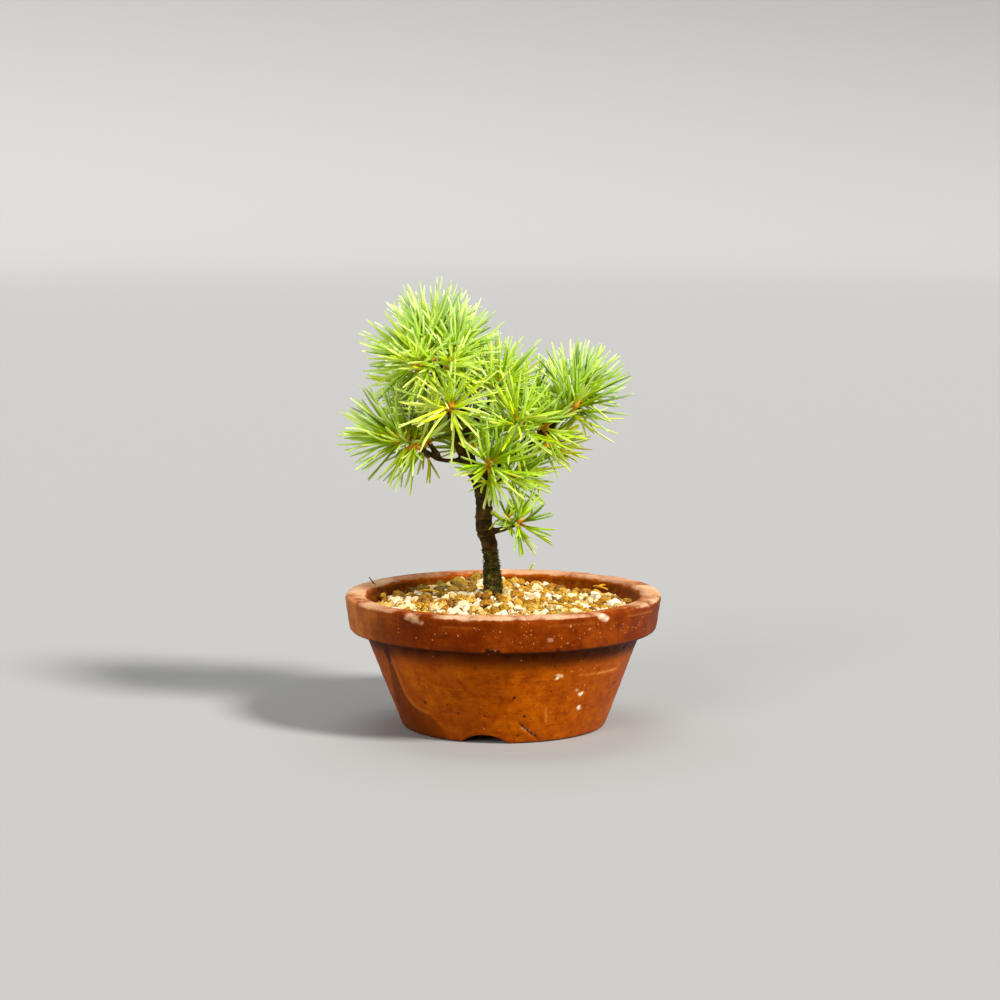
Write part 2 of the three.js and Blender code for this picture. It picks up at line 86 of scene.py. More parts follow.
# Soil.
SOIL_EDGE_HEIGHT = 38.2
MOUND_HEIGHT = 3.9
MOUND_SPREAD = 20.0
BANK_HEIGHT = 3.0
BANK_SPREAD = 18.0
BANK_X = -8.0
LARGE_GRANULES = [  # x, y and radius: by the foot of the trunk, and on the bank
    (1.4, 0.6, 2.3), (4.6, -0.8, 1.9), (-33.9, 16.9, 2.2), (-26.1, 27.0, 2.5), (-20.7, 31.5, 2.5),
    (-14.8, 33.9, 2.4), (-8.9, 37.6, 2.2), (3.6, 35.5, 2.3), (10.1, 31.8, 2.5), (-38.6, 13.4, 1.9),
]
TRUNK_FOOT = np.array([-3.6, 4.0])
GROUND = 42.6
GRANULE_STEP = 4.0  # of the triangular lattice that the larger granules lie on
GRANULE_SCATTER = 0.75  # sideways from their places
GRANULE_LIFT = 0.7  # up or down from the soil's surface
HOLLOW_DEPTH = 1.3  # between three granules
FINES_DEPTH = 2.6  # under the soil's surface

# Tree: the middle line of the trunk, and its radius by height.
TRUNK_POINTS = [
    (-2.2, 4.4, 20), (-2.7, 4.2, 32), (-3.2, 4.0, 42.6), (-4.3, 3.9, 55.5), (-5.9, 3.5, 62.5),
    (-6.1, 3.0, 69.5), (-7.3, 2.2, 77.0), (-10.8, 1.5, 82.7), (-13.3, 1.0, 88.0),
    (-15.8, 0.9, 96.3), (-17.4, 0.7, 102), (-20.2, 0.3, 108), (-22.3, 0.0, 112.7),
]
TRUNK_RADII = [
    (20, 1.6), (32, 2.5), (42.6, 2.9), (48, 2.7), (53, 2.35), (57, 2.45), (62, 2.7), (69, 2.6),
    (77, 2.6), (84, 1.95), (96, 1.5), (104, 1.25), (113, 0.95),
]
TWIG_TIP_RADIUS = 0.75
BARK_GRAIN = 0.25  # the mesh width of the wood's skin
MOSS_BLADES = 620
GOLDEN_ANGLE = math.pi * (3 - math.sqrt(5))

# Each shoot: the route of its stem from inside its parent to the bud, the stem's radius where it
# starts, the length of its leafy end, its bundles of five needles and how long those are. Some also
# have a gap of so many radians between their bundles on the side that `bare` points to, a `reach`
# that lengthens the needles that point that way, and yellower, paler or drier needles than others
# (tone, pale, dry). `curl` and `rise` bend the needles at random and up, `spread` opens the bundles
# and `plump` is the size of stem and bud. What a shoot doesn't give is as in the usual one.
# Paler needles (pale) are wax and a painted highlight, set higher on the shoots that face the light.
USUAL_SHOOT = dict(
    tone=0.5, pale=0.2, dry=0.0, gap=0.0, bare=(0.0, 0.0, -1.0), reach=(0.0, 0.0, 0.0), curl=0.095,
    rise=0.03, spread=1.0, plump=1.0)
SHOOTS = {
    "crown_left": dict(
        route=[(-21.6, 0.1, 111), (-24.4, -0.8, 114), (-28.2, -2, 117.2)],
        start=1.0, leafy=5.5, bundles=19, length=18, pale=0.55),
    "crown_top": dict(
        route=[(-22, 0, 111.5), (-23, 0.6, 117), (-22.8, 1, 123.6)],
        start=1.0, leafy=7, bundles=24, length=18.5, pale=0.9, tone=0.42),
    "crown_right": dict(
        route=[(-20.4, 0.3, 108.4), (-17, -1.2, 114), (-13.4, -3, 119.8)],
        start=1.0, leafy=7, bundles=21, length=17, pale=0.75),
    "crown_front": dict(
        route=[(-21.8, 0.2, 111.6), (-22, -5, 113.4), (-21.2, -11.6, 115.4)],
        start=1.0, leafy=6, bundles=12, length=16, pale=0.2, tone=0.75, gap=1.7,
        bare=(0.0, 0.3, 1.0), plump=1.6),
    "crown_back": dict(
        route=[(-21.8, 0.2, 111.6), (-21.6, 6, 115), (-20.4, 13, 119)],
        start=1.0, leafy=6.5, bundles=17, length=17),
    "crown_low": dict(
        route=[(-19, 0.5, 105.6), (-24, 5, 107), (-29, 9.5, 107.5)],
        start=1.0, leafy=6, bundles=15, length=16, tone=0.8),
    "star": dict(
        route=[(-15.7, 0.9, 95.8), (-16.4, -5.5, 99.3), (-16.3, -12.5, 102.1)],
        start=1.1, leafy=5.5, bundles=13, length=17.5, tone=0.95, pale=0.15, gap=0.5),
    "upper_middle": dict(
        route=[(-13.8, 1, 89.6), (-8, -0.6, 97), (-0.2, -3.2, 109.6)],
        start=1.1, leafy=7, bundles=17, length=16.5, pale=0.4),
    "upper_back": dict(
        route=[(-15.6, 0.9, 95.4), (-11.4, 5.4, 101), (-6.6, 10, 108.4)],
        start=1.1, leafy=7, bundles=18, length=16, pale=0.3),
    "right_tip": dict(
        route=[(-7.4, 2.2, 77.4), (1, 3, 83), (8.6, 2.2, 88), (16.6, -0.2, 95.6), (23.6, -4, 102.8)],
        start=1.9, leafy=6.5, bundles=17, length=17, gap=2.6, bare=(-0.2, 0.0, -1.0),
        reach=(0.26, 0.0, 0.06), pale=0.6, tone=0.36),
    "right_high": dict(
        route=[(14.4, 0.6, 93.4), (18, 2.4, 99), (23.2, 3.4, 107.6)],
        start=1.1, leafy=6.5, bundles=16, length=16.5, pale=0.55, tone=0.38),
    "middle_front": dict(
        route=[(2.6, 2.9, 84.2), (4.2, -4, 91), (4.4, -11.5, 98)],
        start=1.1, leafy=6, bundles=18, length=16),
    "right_low": dict(
        route=[(5.6, 2.7, 86), (10, 3.8, 87.4), (15.6, 4.2, 88.6)],
        start=1.1, leafy=6, bundles=17, length=13.5, dry=0.5, pale=0.0, gap=0.9),
    "right_back": dict(
        route=[(6.6, 2.5, 86.6), (8.4, 8.4, 93), (9, 14.5, 101.4)],
        start=1.1, leafy=6.5, bundles=19, length=16.5),
    "front_low": dict(
        route=[(-7.4, 2.1, 77.6), (-5.8, -6, 80.8), (-3.6, -14.6, 84.8)],
        start=1.2, leafy=5.0, bundles=15, length=14.5, tone=0.38, reach=(0.2, 0.0, 0.05)),
    "low_right": dict(
        route=[(-6.8, 2.6, 73.6), (-1.6, -2, 77.6), (5.4, -4.6, 79.8)],
        start=1.1, leafy=5.5, bundles=13, length=14.5, gap=1.2),
    "low_twig": dict(
        route=[(-5.2, 3.6, 60.4), (-0.6, -0.2, 61.8), (3.6, -2.6, 63.8), (5.2, -6.4, 65.2)],
        start=0.9, leafy=3.4, bundles=8, length=9.6, curl=0.16, rise=0.16, tone=0.34,
        reach=(0.4, 0.0, 0.0)),
    "left_tip": dict(
        route=[(-11.4, 1.4, 83.6), (-19.4, -1, 84), (-27, -3.2, 88.4), (-36.6, -5, 92.6)],
        start=0.65, leafy=12, bundles=25, length=16.5, pale=0.45, tone=0.33, reach=(-0.06, 0.0, 0.12)),
    "left_inner": dict(
        route=[(-20, -1.2, 84.3), (-23, 2.6, 88.6), (-26.2, 7, 94.4)],
        start=0.7, leafy=8, bundles=21, length=14, dry=0.25, tone=0.35, reach=(0.0, 0.0, 0.12)),
    "low_back": dict(
        route=[(-8.6, 2, 79.2), (-9.8, 9, 84), (-11, 16, 88.8)],
        start=1.1, leafy=6, bundles=14, length=14, gap=2.8),
}

# Side shoots too small for a CAD node of their own.
SIDE_SHOOTS = {
    "bark_tuft": dict(
        route=[(-6.2, 1.2, 74.6), (-5.0, -2.6, 76.4), (-3.6, -5.6, 78.2)], plump=0.6,
        start=0.6, leafy=3.0, bundles=6, length=7.4, curl=0.28, rise=-0.1, spread=1.4, tone=0.8,
        reach=(-0.2, 0.0, -0.1)),
    "low_twig_side": dict(
        route=[(0.2, -0.6, 62.0), (0.9, -2.2, 64.4), (1.2, -4.4, 66.4)], plump=0.6,
        start=0.6, leafy=2.5, bundles=7, length=5.5, curl=0.2, rise=0.1),
    "drooping_tuft": dict(
        route=[(-22.6, -1.8, 85.8), (-23.6, -3.0, 85.6), (-24.2, -3.8, 84.6)], plump=0.5,
        start=0.5, leafy=1.6, bundles=1, length=8.0, curl=0.12, rise=-0.1, spread=2.0, dry=0.6),
    "right_inner": dict(
        route=[(11.6, 2.2, 91.2), (12.6, -1.4, 93.4), (13.2, -5.4, 95.6)],
        start=0.8, leafy=4.5, bundles=12, length=12.5, tone=0.65, gap=0.8),
    "crown_bud_left": dict(
        route=[(-22.4, -3.6, 113.0), (-24.8, -8.0, 113.8), (-26.8, -14.2, 114.6)],
        start=0.7, leafy=3.0, bundles=5, length=12.0, tone=0.8, gap=1.7, plump=1.5),
    "crown_bud_right": dict(
        route=[(-21.0, -3.6, 112.8), (-18.4, -8.4, 113.8), (-15.4, -14.4, 114.8)],
        start=0.7, leafy=3.0, bundles=5, length=12.0, tone=0.8, gap=1.7, plump=1.5),
}

NEEDLE_ROWS = np.array([0.0, 0.1, 0.27, 0.46, 0.66, 0.84, 0.975])
NEEDLE_WIDTH = 0.8
IN_BUNDLE = 5  # needles
STEM_RADIUS = 0.75  # of a shoot's leafy end
LOWEST_LEAN = 1.7  # radians between a shoot and its lowest bundles
TOPMOST_LEAN = 0.36
NEEDLE_CLEARANCE = 0.55  # from a needle's middle line to wood
SHEATH_LENGTH = 1.25
SHEATH_POINTS = 20  # three rings of six and two ends
BOX_ALLOWANCE = 1.9  # of the finest tips past the box of the solids


# ---- Numbers ----


def smoothstep(x, low, high):
    """0 below low, 1 above high, and 3t^2 - 2t^3 between them."""
    t = np.clip((x - low) / (high - low), 0, 1)
    return t * t * (3 - 2 * t)


def unit(vectors):
    """The vectors at length 1."""
    return vectors / np.maximum(np.linalg.norm(vectors, axis=-1, keepdims=True), 1e-12)


def turns(count):
    """Angles spread evenly round a circle."""
    return np.arange(count) * 2 * np.pi / count


def turned(radius, angle, height):
    """The points at this radius and angle round +Z and at this height."""
    return np.stack(np.broadcast_arrays(radius * np.cos(angle), radius * np.sin(angle), height), axis=-1)


def swung(first, second, angle):
    """The direction at this angle from the first, towards the second, which is square to it."""
    return first * np.cos(angle)[..., None] + second * np.sin(angle)[..., None]


def square_to(ways, rng):
    """Two unit vectors square to each way and to each other, turned at random."""
    first = unit(np.cross(ways, rng.normal(size=ways.shape)))
    return first, np.cross(ways, first)


def cell_values(cells, seed):
    """A number from -1 to 1 for each whole-numbered cell: its three numbers and the seed, scrambled."""
    mixed = cells[..., 0] * 73856093 ^ cells[..., 1] * 19349663 ^ cells[..., 2] * 83492791
    mixed = (mixed ^ (seed + 1) * 2654435761) & 0xFFFFFFFF
    for _ in range(2):
        mixed = ((mixed ^ (mixed >> 15)) * 2246822519) & 0xFFFFFFFF
        mixed = mixed ^ (mixed >> 13)
    return mixed / 2147483648.0 - 1


def noise(points, size, seed=0, octaves=1):
    """Value noise: cell values `size` mm apart, smoothly blended along x, y and z between the cells.
    Each further octave is half as large and half as strong."""
    total = np.zeros(points.shape[:-1])
    for octave in range(octaves):
        scaled = points / (size / 2**octave)
        cells = np.floor(scaled).astype(np.int64)
        part = scaled - cells
        part = part * part * (3 - 2 * part)
        level = np.zeros(points.shape[:-1])
        for corner in np.ndindex(2, 2, 2):
            weight = np.prod(np.where(np.array(corner) == 1, part, 1 - part), axis=-1)
            level += weight * cell_values(cells + np.array(corner), seed + 17 * octave)
        total += level / 2**octave
    return total


class Route:
    """A centripetal Catmull-Rom spline through points, walked evenly by its length."""

    def __init__(self, points, samples=600):
        points = np.array(points, float)
        padded = np.vstack([2 * points[0] - points[1], points, 2 * points[-1] - points[-2]])
        t = np.linspace(0, len(points) - 1, samples)
        span = np.minimum(t.astype(int), len(points) - 2)
        t = (t - span)[:, None]
        p0, p1, p2, p3 = (padded[span + k] for k in range(4))
        d0, d1, d2 = (
            np.sqrt(np.linalg.norm(b - a, axis=1))[:, None] for a, b in ((p0, p1), (p1, p2), (p2, p3))
        )
        m1 = d1 * ((p1 - p0) / d0 - (p2 - p0) / (d0 + d1) + (p2 - p1) / d1)
        m2 = d1 * ((p2 - p1) / d1 - (p3 - p1) / (d1 + d2) + (p3 - p2) / d2)
        square, cube = 3 * (p2 - p1) - 2 * m1 - m2, 2 * (p1 - p2) + m1 + m2
        self.line = p1 + m1 * t + square * t**2 + cube * t**3
        steps = np.linalg.norm(np.diff(self.line, axis=0), axis=1)
        self.walked = np.concatenate([[0], np.cumsum(steps)])
        self.length = self.walked[-1]

    def at(self, share):
        """The points at these shares, 0 to 1, of the length."""
        walked = np.asarray(share) * self.length
        return np.stack([np.interp(walked, self.walked, axis) for axis in self.line.T], axis=-1)

    def frame(self, share):
        """Three unit vectors at each share: along the route, and two square to it that don't twist."""
        share = np.asarray(share, float)
        ahead = self.at(np.clip(share + 0.01, 0, 1)) - self.at(np.clip(share - 0.01, 0, 1))
        along = unit(ahead)
        overall = unit(self.line[-1] - self.line[0])
        helper = np.eye(3)[np.argmin(np.abs(overall))]
        side = unit(np.cross(helper, along))
        return along, side, np.cross(along, side)


# ---- Meshes ----


def sheet_faces(rows, columns, around=True, closed_rows=False):
    """Four-cornered faces of a grid of points numbered row by row; `around` joins the last column to
    the first and `closed_rows` the last row to the first."""
    row = np.arange(rows if closed_rows else rows - 1)[:, None]
    column = np.arange(columns if around else columns - 1)[None, :]
    next_row, next_column = (row + 1) % rows, (column + 1) % columns
    row, next_row = row * columns, next_row * columns
    corners = [row + column, row + next_column, next_row + next_column, next_row + column]
    return np.stack(corners, axis=-1).reshape(-1, 4)


def capped_grid(grid, first, last):
    """A grid of rings, (rows, columns, 3), closed by one point at each end: its points and faces."""
    rows, columns = grid.shape[:2]
    points = np.vstack([grid.reshape(-1, 3), first, last])
    ring = np.arange(columns)
    after = (ring + 1) % columns
    start, end = rows * columns, rows * columns + 1
    top = (rows - 1) * columns
    first_cap = np.stack([np.full(columns, start), after, ring], axis=1)
    last_cap = np.stack([np.full(columns, end), top + ring, top + after], axis=1)
    return points, [sheet_faces(rows, columns), np.vstack([first_cap, last_cap])]


def tube(route, shares, radii, columns, bulge=0.0):
    """Rings of the given radii square to a route at these shares, with rounded ends: the point at each
    end stands out by `bulge` radii."""
    along, side, over = route.frame(shares)
    spoke = swung(side[:, None], over[:, None], turns(columns))
    centre = route.at(shares)
    radii = np.broadcast_to(np.asarray(radii, float).reshape(len(shares), -1), (len(shares), columns))
    grid = centre[:, None] + spoke * radii[..., None]
    first = centre[0] - along[0] * radii[0].mean() * bulge
    last = centre[-1] + along[-1] * radii[-1].mean() * bulge
    return capped_grid(grid, first, last)


def joined(parts):
    """Several (points, faces) as one: the points in a row and the point numbers moved on."""
    points = np.vstack([p for p, _ in parts])
    starts = np.cumsum([0] + [len(p) for p, _ in parts])
    faces = [block + start for (_, blocks), start in zip(parts, starts) for block in blocks]
    by_corners = {k: [f for f in faces if f.shape[1] == k] for k in (4, 3)}
    return points, [np.vstack(found) for found in by_corners.values() if found]


def repeated(points, blocks, count):
    """Faces of `count` copies of a shape with this many points, numbered copy by copy."""
    shift = np.arange(count)[:, None, None] * points
    return [(block[None] + shift).reshape(-1, block.shape[1]) for block in blocks]


def new_object(name, data):
    """A new object in the scene."""
    thing = bpy.data.objects.new(name, data)
    bpy.context.scene.collection.objects.link(thing)
    return thing


def set_values(mesh, values):
    """Numbers for each point of a mesh, by name, for its material to read."""
    for name, numbers in values.items():
        attribute = mesh.attributes.new(name, "FLOAT", "POINT")
        attribute.data.foreach_set("value", np.asarray(numbers, np.float32).ravel())


def new_piece(name, points, faces, material, replaced=(), smooth=True, values=None, uv=None):
    """A mesh object from points in mm and arrays of faces, riding on the part's one body. values
    are numbers for each point, by name, and uv a pair for each corner of each face."""
    corners = np.concatenate([block.ravel() for block in faces])
    counts = np.concatenate([np.full(len(block), block.shape[1]) for block in faces])
    mesh = bpy.data.meshes.new(name)
    mesh.vertices.add(len(points))
    mesh.vertices.foreach_set("co", (np.asarray(points) * MM).astype(np.float32).ravel())
    mesh.loops.add(len(corners))
    mesh.loops.foreach_set("vertex_index", corners.astype(np.int32))
    mesh.polygons.add(len(counts))
    mesh.polygons.foreach_set("loop_start", (np.cumsum(counts) - counts).astype(np.int32))
    mesh.polygons.foreach_set("use_smooth", np.full(len(counts), smooth))
    if uv is not None:
        mesh.uv_layers.new(name="UVMap").data.foreach_set("uv", uv.astype(np.float32).ravel())
    mesh.update(calc_edges=True)
    set_values(mesh, values or {})
    mesh.materials.append(material)
    piece = new_object(name, mesh)
    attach(piece, "root")
    if replaced:
        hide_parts(*replaced)
    return piece


# ---- Materials ----


def linear(hex_colour):
    """An sRGB hex colour as linear red, green, blue and alpha."""
    parts = [int(hex_colour[i : i + 2], 16) / 255 for i in (1, 3, 5)]
    return [c / 12.92 if c <= 0.04045 else ((c + 0.055) / 1.055) ** 2.4 for c in parts] + [1.0]


def fill(node, *first_inputs, **values):
    """Sets a node: named values on the input of that name or else on the node itself, then its first
    inputs in their order. A socket is linked and a hex colour turned linear. `stops` are the places
    and colours of a colour ramp."""
    for name, value in [*values.items(), *enumerate(first_inputs)]:
        if name == "stops":
            ramp = node.color_ramp.elements
            while len(ramp) < len(value):
                ramp.new(0.5)
            for element, (place, colour) in zip(ramp, value):
                element.position, element.color = place, linear(colour)
            continue
        target = node.inputs.get(name.replace("_", " ")) if isinstance(name, str) else node.inputs[name]
        if isinstance(value, str) and value.startswith("#"):
            value = linear(value)
        if isinstance(value, bpy.types.NodeSocket):
            node.id_data.links.new(value, target)
        elif target is not None:
            target.default_value = value
        else:
            setattr(node, name, value)


def new_material(name, **surface):
    """A material with one Principled surface: itself, a function that adds a node with its settings
    and links and gives its output `out`, and the surface's node."""
    material = bpy.data.materials.new(name)
    material.use_nodes = True
    tree = material.node_tree
    shader = tree.nodes["Principled BSDF"]
    fill(shader, **surface)

    def add(kind, *first_inputs, out=0, **values):
        """The output of a new node of this kind."""
        node = tree.nodes.new("ShaderNode" + kind)
        fill(node, *first_inputs, **values)
        return node.outputs[out]

    return material, add, shader


def finer(size):
    """The Scale of a pattern whose grain is this many mm, on coordinates in metres."""
    return 1 / (size * MM)


def fired_terracotta():
    """Earthenware thrown on a wheel and fired without glaze, worn and a little polished by handling.
    Seen close it is warm orange-brown, darker and redder on the band, with fine level lines from
    throwing, pale lime on the lip, small white specks and dark pits."""
    material, add, shader = new_material(
        "fired_terracotta", Specular_IOR_Level=0.16, Specular_Tint="#ff9a50")
    place = add("TexCoord", out="Object")
    level = add("Mapping", place, Scale=(0.05, 0.05, 1.0))
    band, chalk, stain, inside, specks, worn = (
        add("Attribute", out="Fac", attribute_name=name)
        for name in ("band", "chalk", "stain", "inside", "specks", "worn"))
    clouds = add("TexNoise", place, Scale=finer(14), Detail=6.0, Roughness=0.62)
    lines = add("TexNoise", level, Scale=finer(0.55), Detail=5.0, Roughness=0.7)
    grain = add("TexNoise", place, Scale=finer(0.5), Detail=3.0, Roughness=0.6)
    blotch = add("TexNoise", place, Scale=finer(2.6), Detail=5.0, Roughness=0.7)

    body = add("ValToRGB", clouds, stops=[(0.3, "#964200"), (0.5, "#aa5000"), (0.7, "#c46600")])
    rim = add("ValToRGB", clouds, stops=[(0.3, "#682400"), (0.5, "#7c3001"), (0.72, "#9c480a")])
    wall = add("ValToRGB", blotch, stops=[(0.3, "#542200"), (0.5, "#743400"), (0.7, "#985006")])
    colour = add("MixRGB", band, body, rim)
    # Handling and weather leave patches on the band, browner and more orange than the rest.
    scuff = add("ValToRGB", blotch, stops=[(0.34, "#b8908c"), (0.5, "#e6dcd8"), (0.66, "#ffffff")])
    colour = add("MixRGB", 0.75, colour, scuff, blend_type="MULTIPLY")
    colour = add("MixRGB", inside, colour, wall)
    colour = add("MixRGB", worn, colour, "#d88434")
    # Level scratches and throwing lines, a little darker and lighter than the clay.
    scratch = add("ValToRGB", lines, stops=[(0.32, "#b9a79c"), (0.5, "#ffffff"), (0.72, "#fff4e8")])
    colour = add("MixRGB", 0.35, colour, scratch, blend_type="MULTIPLY")
    # Damp, soot and pits darken it, with the painted shadow under the band and the darker inside of the
    # painted reflection on the left, and with edges broken up by the blotches.
    dark = add("Math", blotch, 0.5, -0.25, operation="MULTIPLY_ADD")
    dark = add("Math", stain, dark, operation="ADD")
    dark = add("MapRange", dark, 0.2, 0.75)
    colour = add("MixRGB", dark, colour, "#3c1200")
    # Lime lies where the attribute says, broken up by the clay's own grain.
    broken = add("Math", blotch, 0.9, -0.45, operation="MULTIPLY_ADD")
    broken = add("Math", chalk, broken, operation="ADD")
    lime = add("MapRange", broken, 0.22, 0.72)
    lime_tint = add("ValToRGB", clouds, stops=[(0.3, "#b88060"), (0.5, "#cc9c74"), (0.7, "#dcb898")])
    thick = add("MapRange", chalk, 1.0, 1.35)
    lime_tint = add("MixRGB", thick, lime_tint, "#ecdcc4")
    colour = add("MixRGB", lime, colour, lime_tint)
    # Crumbs of lime under half a millimetre, in one cell out of so many as the attribute says.
    ragged = add("VectorMath", grain.node.outputs["Color"], operation="SCALE", Scale=0.5 * MM)
    ragged = add("VectorMath", place, ragged, operation="ADD")
    cells = add("TexVoronoi", ragged, Scale=finer(0.7))
    draw = add("SeparateColor", cells.node.outputs["Color"])
    chosen = add("Math", draw, specks, operation="LESS_THAN")
    size = add("SeparateColor", cells.node.outputs["Color"], out="Green")
    near = add("Math", size, 0.28, 0.08, operation="MULTIPLY_ADD")
    near = add("Math", cells, near, operation="LESS_THAN")
    crumb = add("Math", near, chosen, operation="MULTIPLY")
    colour = add("MixRGB", crumb, colour, "#c47f4c")
    # Pits where grit has fallen out.
    pits = add("TexNoise", place, Scale=finer(0.8), Detail=1.0)
    pits = add("MapRange", pits, 0.27, 0.245)
    colour = add("MixRGB", pits, colour, "#3c1605")

    gloss = add("MapRange", blotch, 0.3, 0.7, 0.45, 0.7)
    gloss = add("MixRGB", lime, gloss, "#ececec")
    height = add("Math", lines, 0.8, grain, operation="MULTIPLY_ADD")
    height = add("Math", pits, -1.2, height, operation="MULTIPLY_ADD")
    height = add("Math", crumb, 0.8, height, operation="MULTIPLY_ADD")
    bump = add("Bump", Height=height, Strength=0.4, Distance=0.1 * MM)
    fill(shader, Base_Color=colour, Roughness=gloss, Normal=bump)
    return material


def dark_fines():
    """Dust and small crumbs of clay and pumice between the granules: very dark brown."""
    material, add, shader = new_material("dark_fines", Roughness=0.85)
    place = add("TexCoord", out="Object")
    crumbs = add("TexNoise", place, Scale=finer(1.1), Detail=6.0, Roughness=0.75)
    colour = add("ValToRGB", crumbs, stops=[
        (0.3, "#120801"), (0.5, "#301802"), (0.62, "#5c3708"), (0.75, "#94681e")])
    bump = add("Bump", Height=crumbs, Strength=0.9, Distance=0.5 * MM)
    fill(shader, Base_Color=colour, Normal=bump)
    return material


def fired_clay_granules():
    """Akadama: volcanic clay baked into crumbly granules, ochre to brown, damp ones darker and some
    with a green film of algae. Dull, with a fine sandy grain."""
    material, add, shader = new_material("fired_clay_granules", Specular_IOR_Level=0.35)
    place = add("TexCoord", out="Object")
    tone, algae = (add("Attribute", out="Fac", attribute_name=name) for name in ("tone", "algae"))
    grain = add("TexNoise", place, Scale=finer(1.1), Detail=6.0, Roughness=0.72)
    base = add("ValToRGB", tone, stops=[
        (0.0, "#7c4600"), (0.3, "#b47a04"), (0.5, "#d09c18"), (0.7, "#e0b240"),
        (0.85, "#e8c46c"), (1.0, "#f2dca4")])
    base = add("MixRGB", algae, base, "#5c5a0e")
    shade = add("ValToRGB", grain, stops=[
        (0.34, "#3c2808"), (0.44, "#c8aa74"), (0.52, "#ffffff"), (0.75, "#fff4dc")])
    colour = add("MixRGB", 0.9, base, shade, blend_type="MULTIPLY")
    gloss = add("MapRange", tone, 0.0, 0.6, 0.55, 0.9)
    bump = add("Bump", Height=grain, Strength=1.0, Distance=0.6 * MM)
    fill(shader, Base_Color=colour, Roughness=gloss, Normal=bump)
    return material


def broken_pumice():
    """Pumice: foamed volcanic glass, broken and sieved. Cream-white and dull, pocked with pores, with
    some ochre dust from the clay beside it."""
    material, add, shader = new_material("broken_pumice", Roughness=0.88)
    place = add("TexCoord", out="Object")
    tone = add("Attribute", out="Fac", attribute_name="tone")
    pores = add("TexVoronoi", place, Scale=finer(0.45))
    dust = add("TexNoise", place, Scale=finer(1.6), Detail=5.0, Roughness=0.7)
    base = add("ValToRGB", tone, stops=[(0.0, "#dab87c"), (0.45, "#f0dcae"), (1.0, "#fbf2dc")])
    dust = add("MapRange", dust, 0.52, 0.8, To_Max=0.8)
    base = add("MixRGB", dust, base, "#b58a3c")
    shade = add("ValToRGB", pores, stops=[(0.08, "#7d6740"), (0.3, "#ffffff")])
    colour = add("MixRGB", 0.6, base, shade, blend_type="MULTIPLY")
    bump = add("Bump", Height=pores, Strength=0.7, Distance=0.2 * MM)
    fill(shader, Base_Color=colour, Normal=bump)
    return material


def pine_bark():
    """Bark of a young white pine: dark grey-brown, rough, wrinkled in rings, and almost black with
    damp and algae near the ground, lighter and more orange on the young twigs."""
    material, add, shader = new_material("pine_bark", Specular_IOR_Level=0.35, Specular_Tint="#ffe0a0")
    place = add("TexCoord", out="Object")
    flat = add("Mapping", place, Scale=(0.55, 0.55, 1.0))
    damp, young, height = (
        add("Attribute", out="Fac", attribute_name=name)
        for name in ("damp", "young", "raised"))
    flakes = add("TexNoise", flat, Scale=finer(1.3), Detail=7.0, Roughness=0.7)
    old = add("ValToRGB", flakes, stops=[
        (0.32, "#0a0500"), (0.5, "#1c1002"), (0.62, "#402a06"), (0.74, "#8c6418")])
    twig = add("ValToRGB", flakes, stops=[(0.3, "#160c03"), (0.5, "#332008"), (0.72, "#6e4a18")])
    colour = add("MixRGB", young, old, twig)
    # Painted highlight: the raised parts of the trunk's bark, the crests of its ring wrinkles, are
    # lighter.
    crest_highlight = add("MapRange", height, 0.35, 0.95, To_Max=0.6)
    colour = add("MixRGB", crest_highlight, colour, "#6c4a0c")
    wet = add("ValToRGB", flakes, stops=[(0.35, "#0c0a00"), (0.52, "#2e2802"), (0.68, "#86761c")])
    colour = add("MixRGB", damp, colour, wet)
    gloss = add("MapRange", damp, To_Min=0.7, To_Max=0.34)
    bump = add("Bump", Height=flakes, Strength=0.9, Distance=0.35 * MM)
    fill(shader, Base_Color=colour, Roughness=gloss, Normal=bump)
    return material


def bud_scales():
    """Papery scales of buds and the sheaths at the needles' roots: thin, dry, orange-brown, paler at
    their edges, on a young stem of the same colour."""
    material, add, shader = new_material("bud_scales", Roughness=0.55)
    place = add("TexCoord", out="Object")
    tone = add("Attribute", out="Fac", attribute_name="tone")
    grain = add("TexNoise", place, Scale=finer(0.6), Detail=4.0)
    mixed = add("Math", grain, 0.5, -0.25, operation="MULTIPLY_ADD")
    mixed = add("Math", tone, mixed, operation="ADD")
    colour = add("ValToRGB", mixed, stops=[
        (0.0, "#5a3400"), (0.3, "#b07200"), (0.55, "#e2a006"), (0.8, "#f2c22c"),
        (1.0, "#f8dc70")])
    bump = add("Bump", Height=grain, Strength=0.6, Distance=0.15 * MM)
    fill(shader, Base_Color=colour, Normal=bump)
    return material


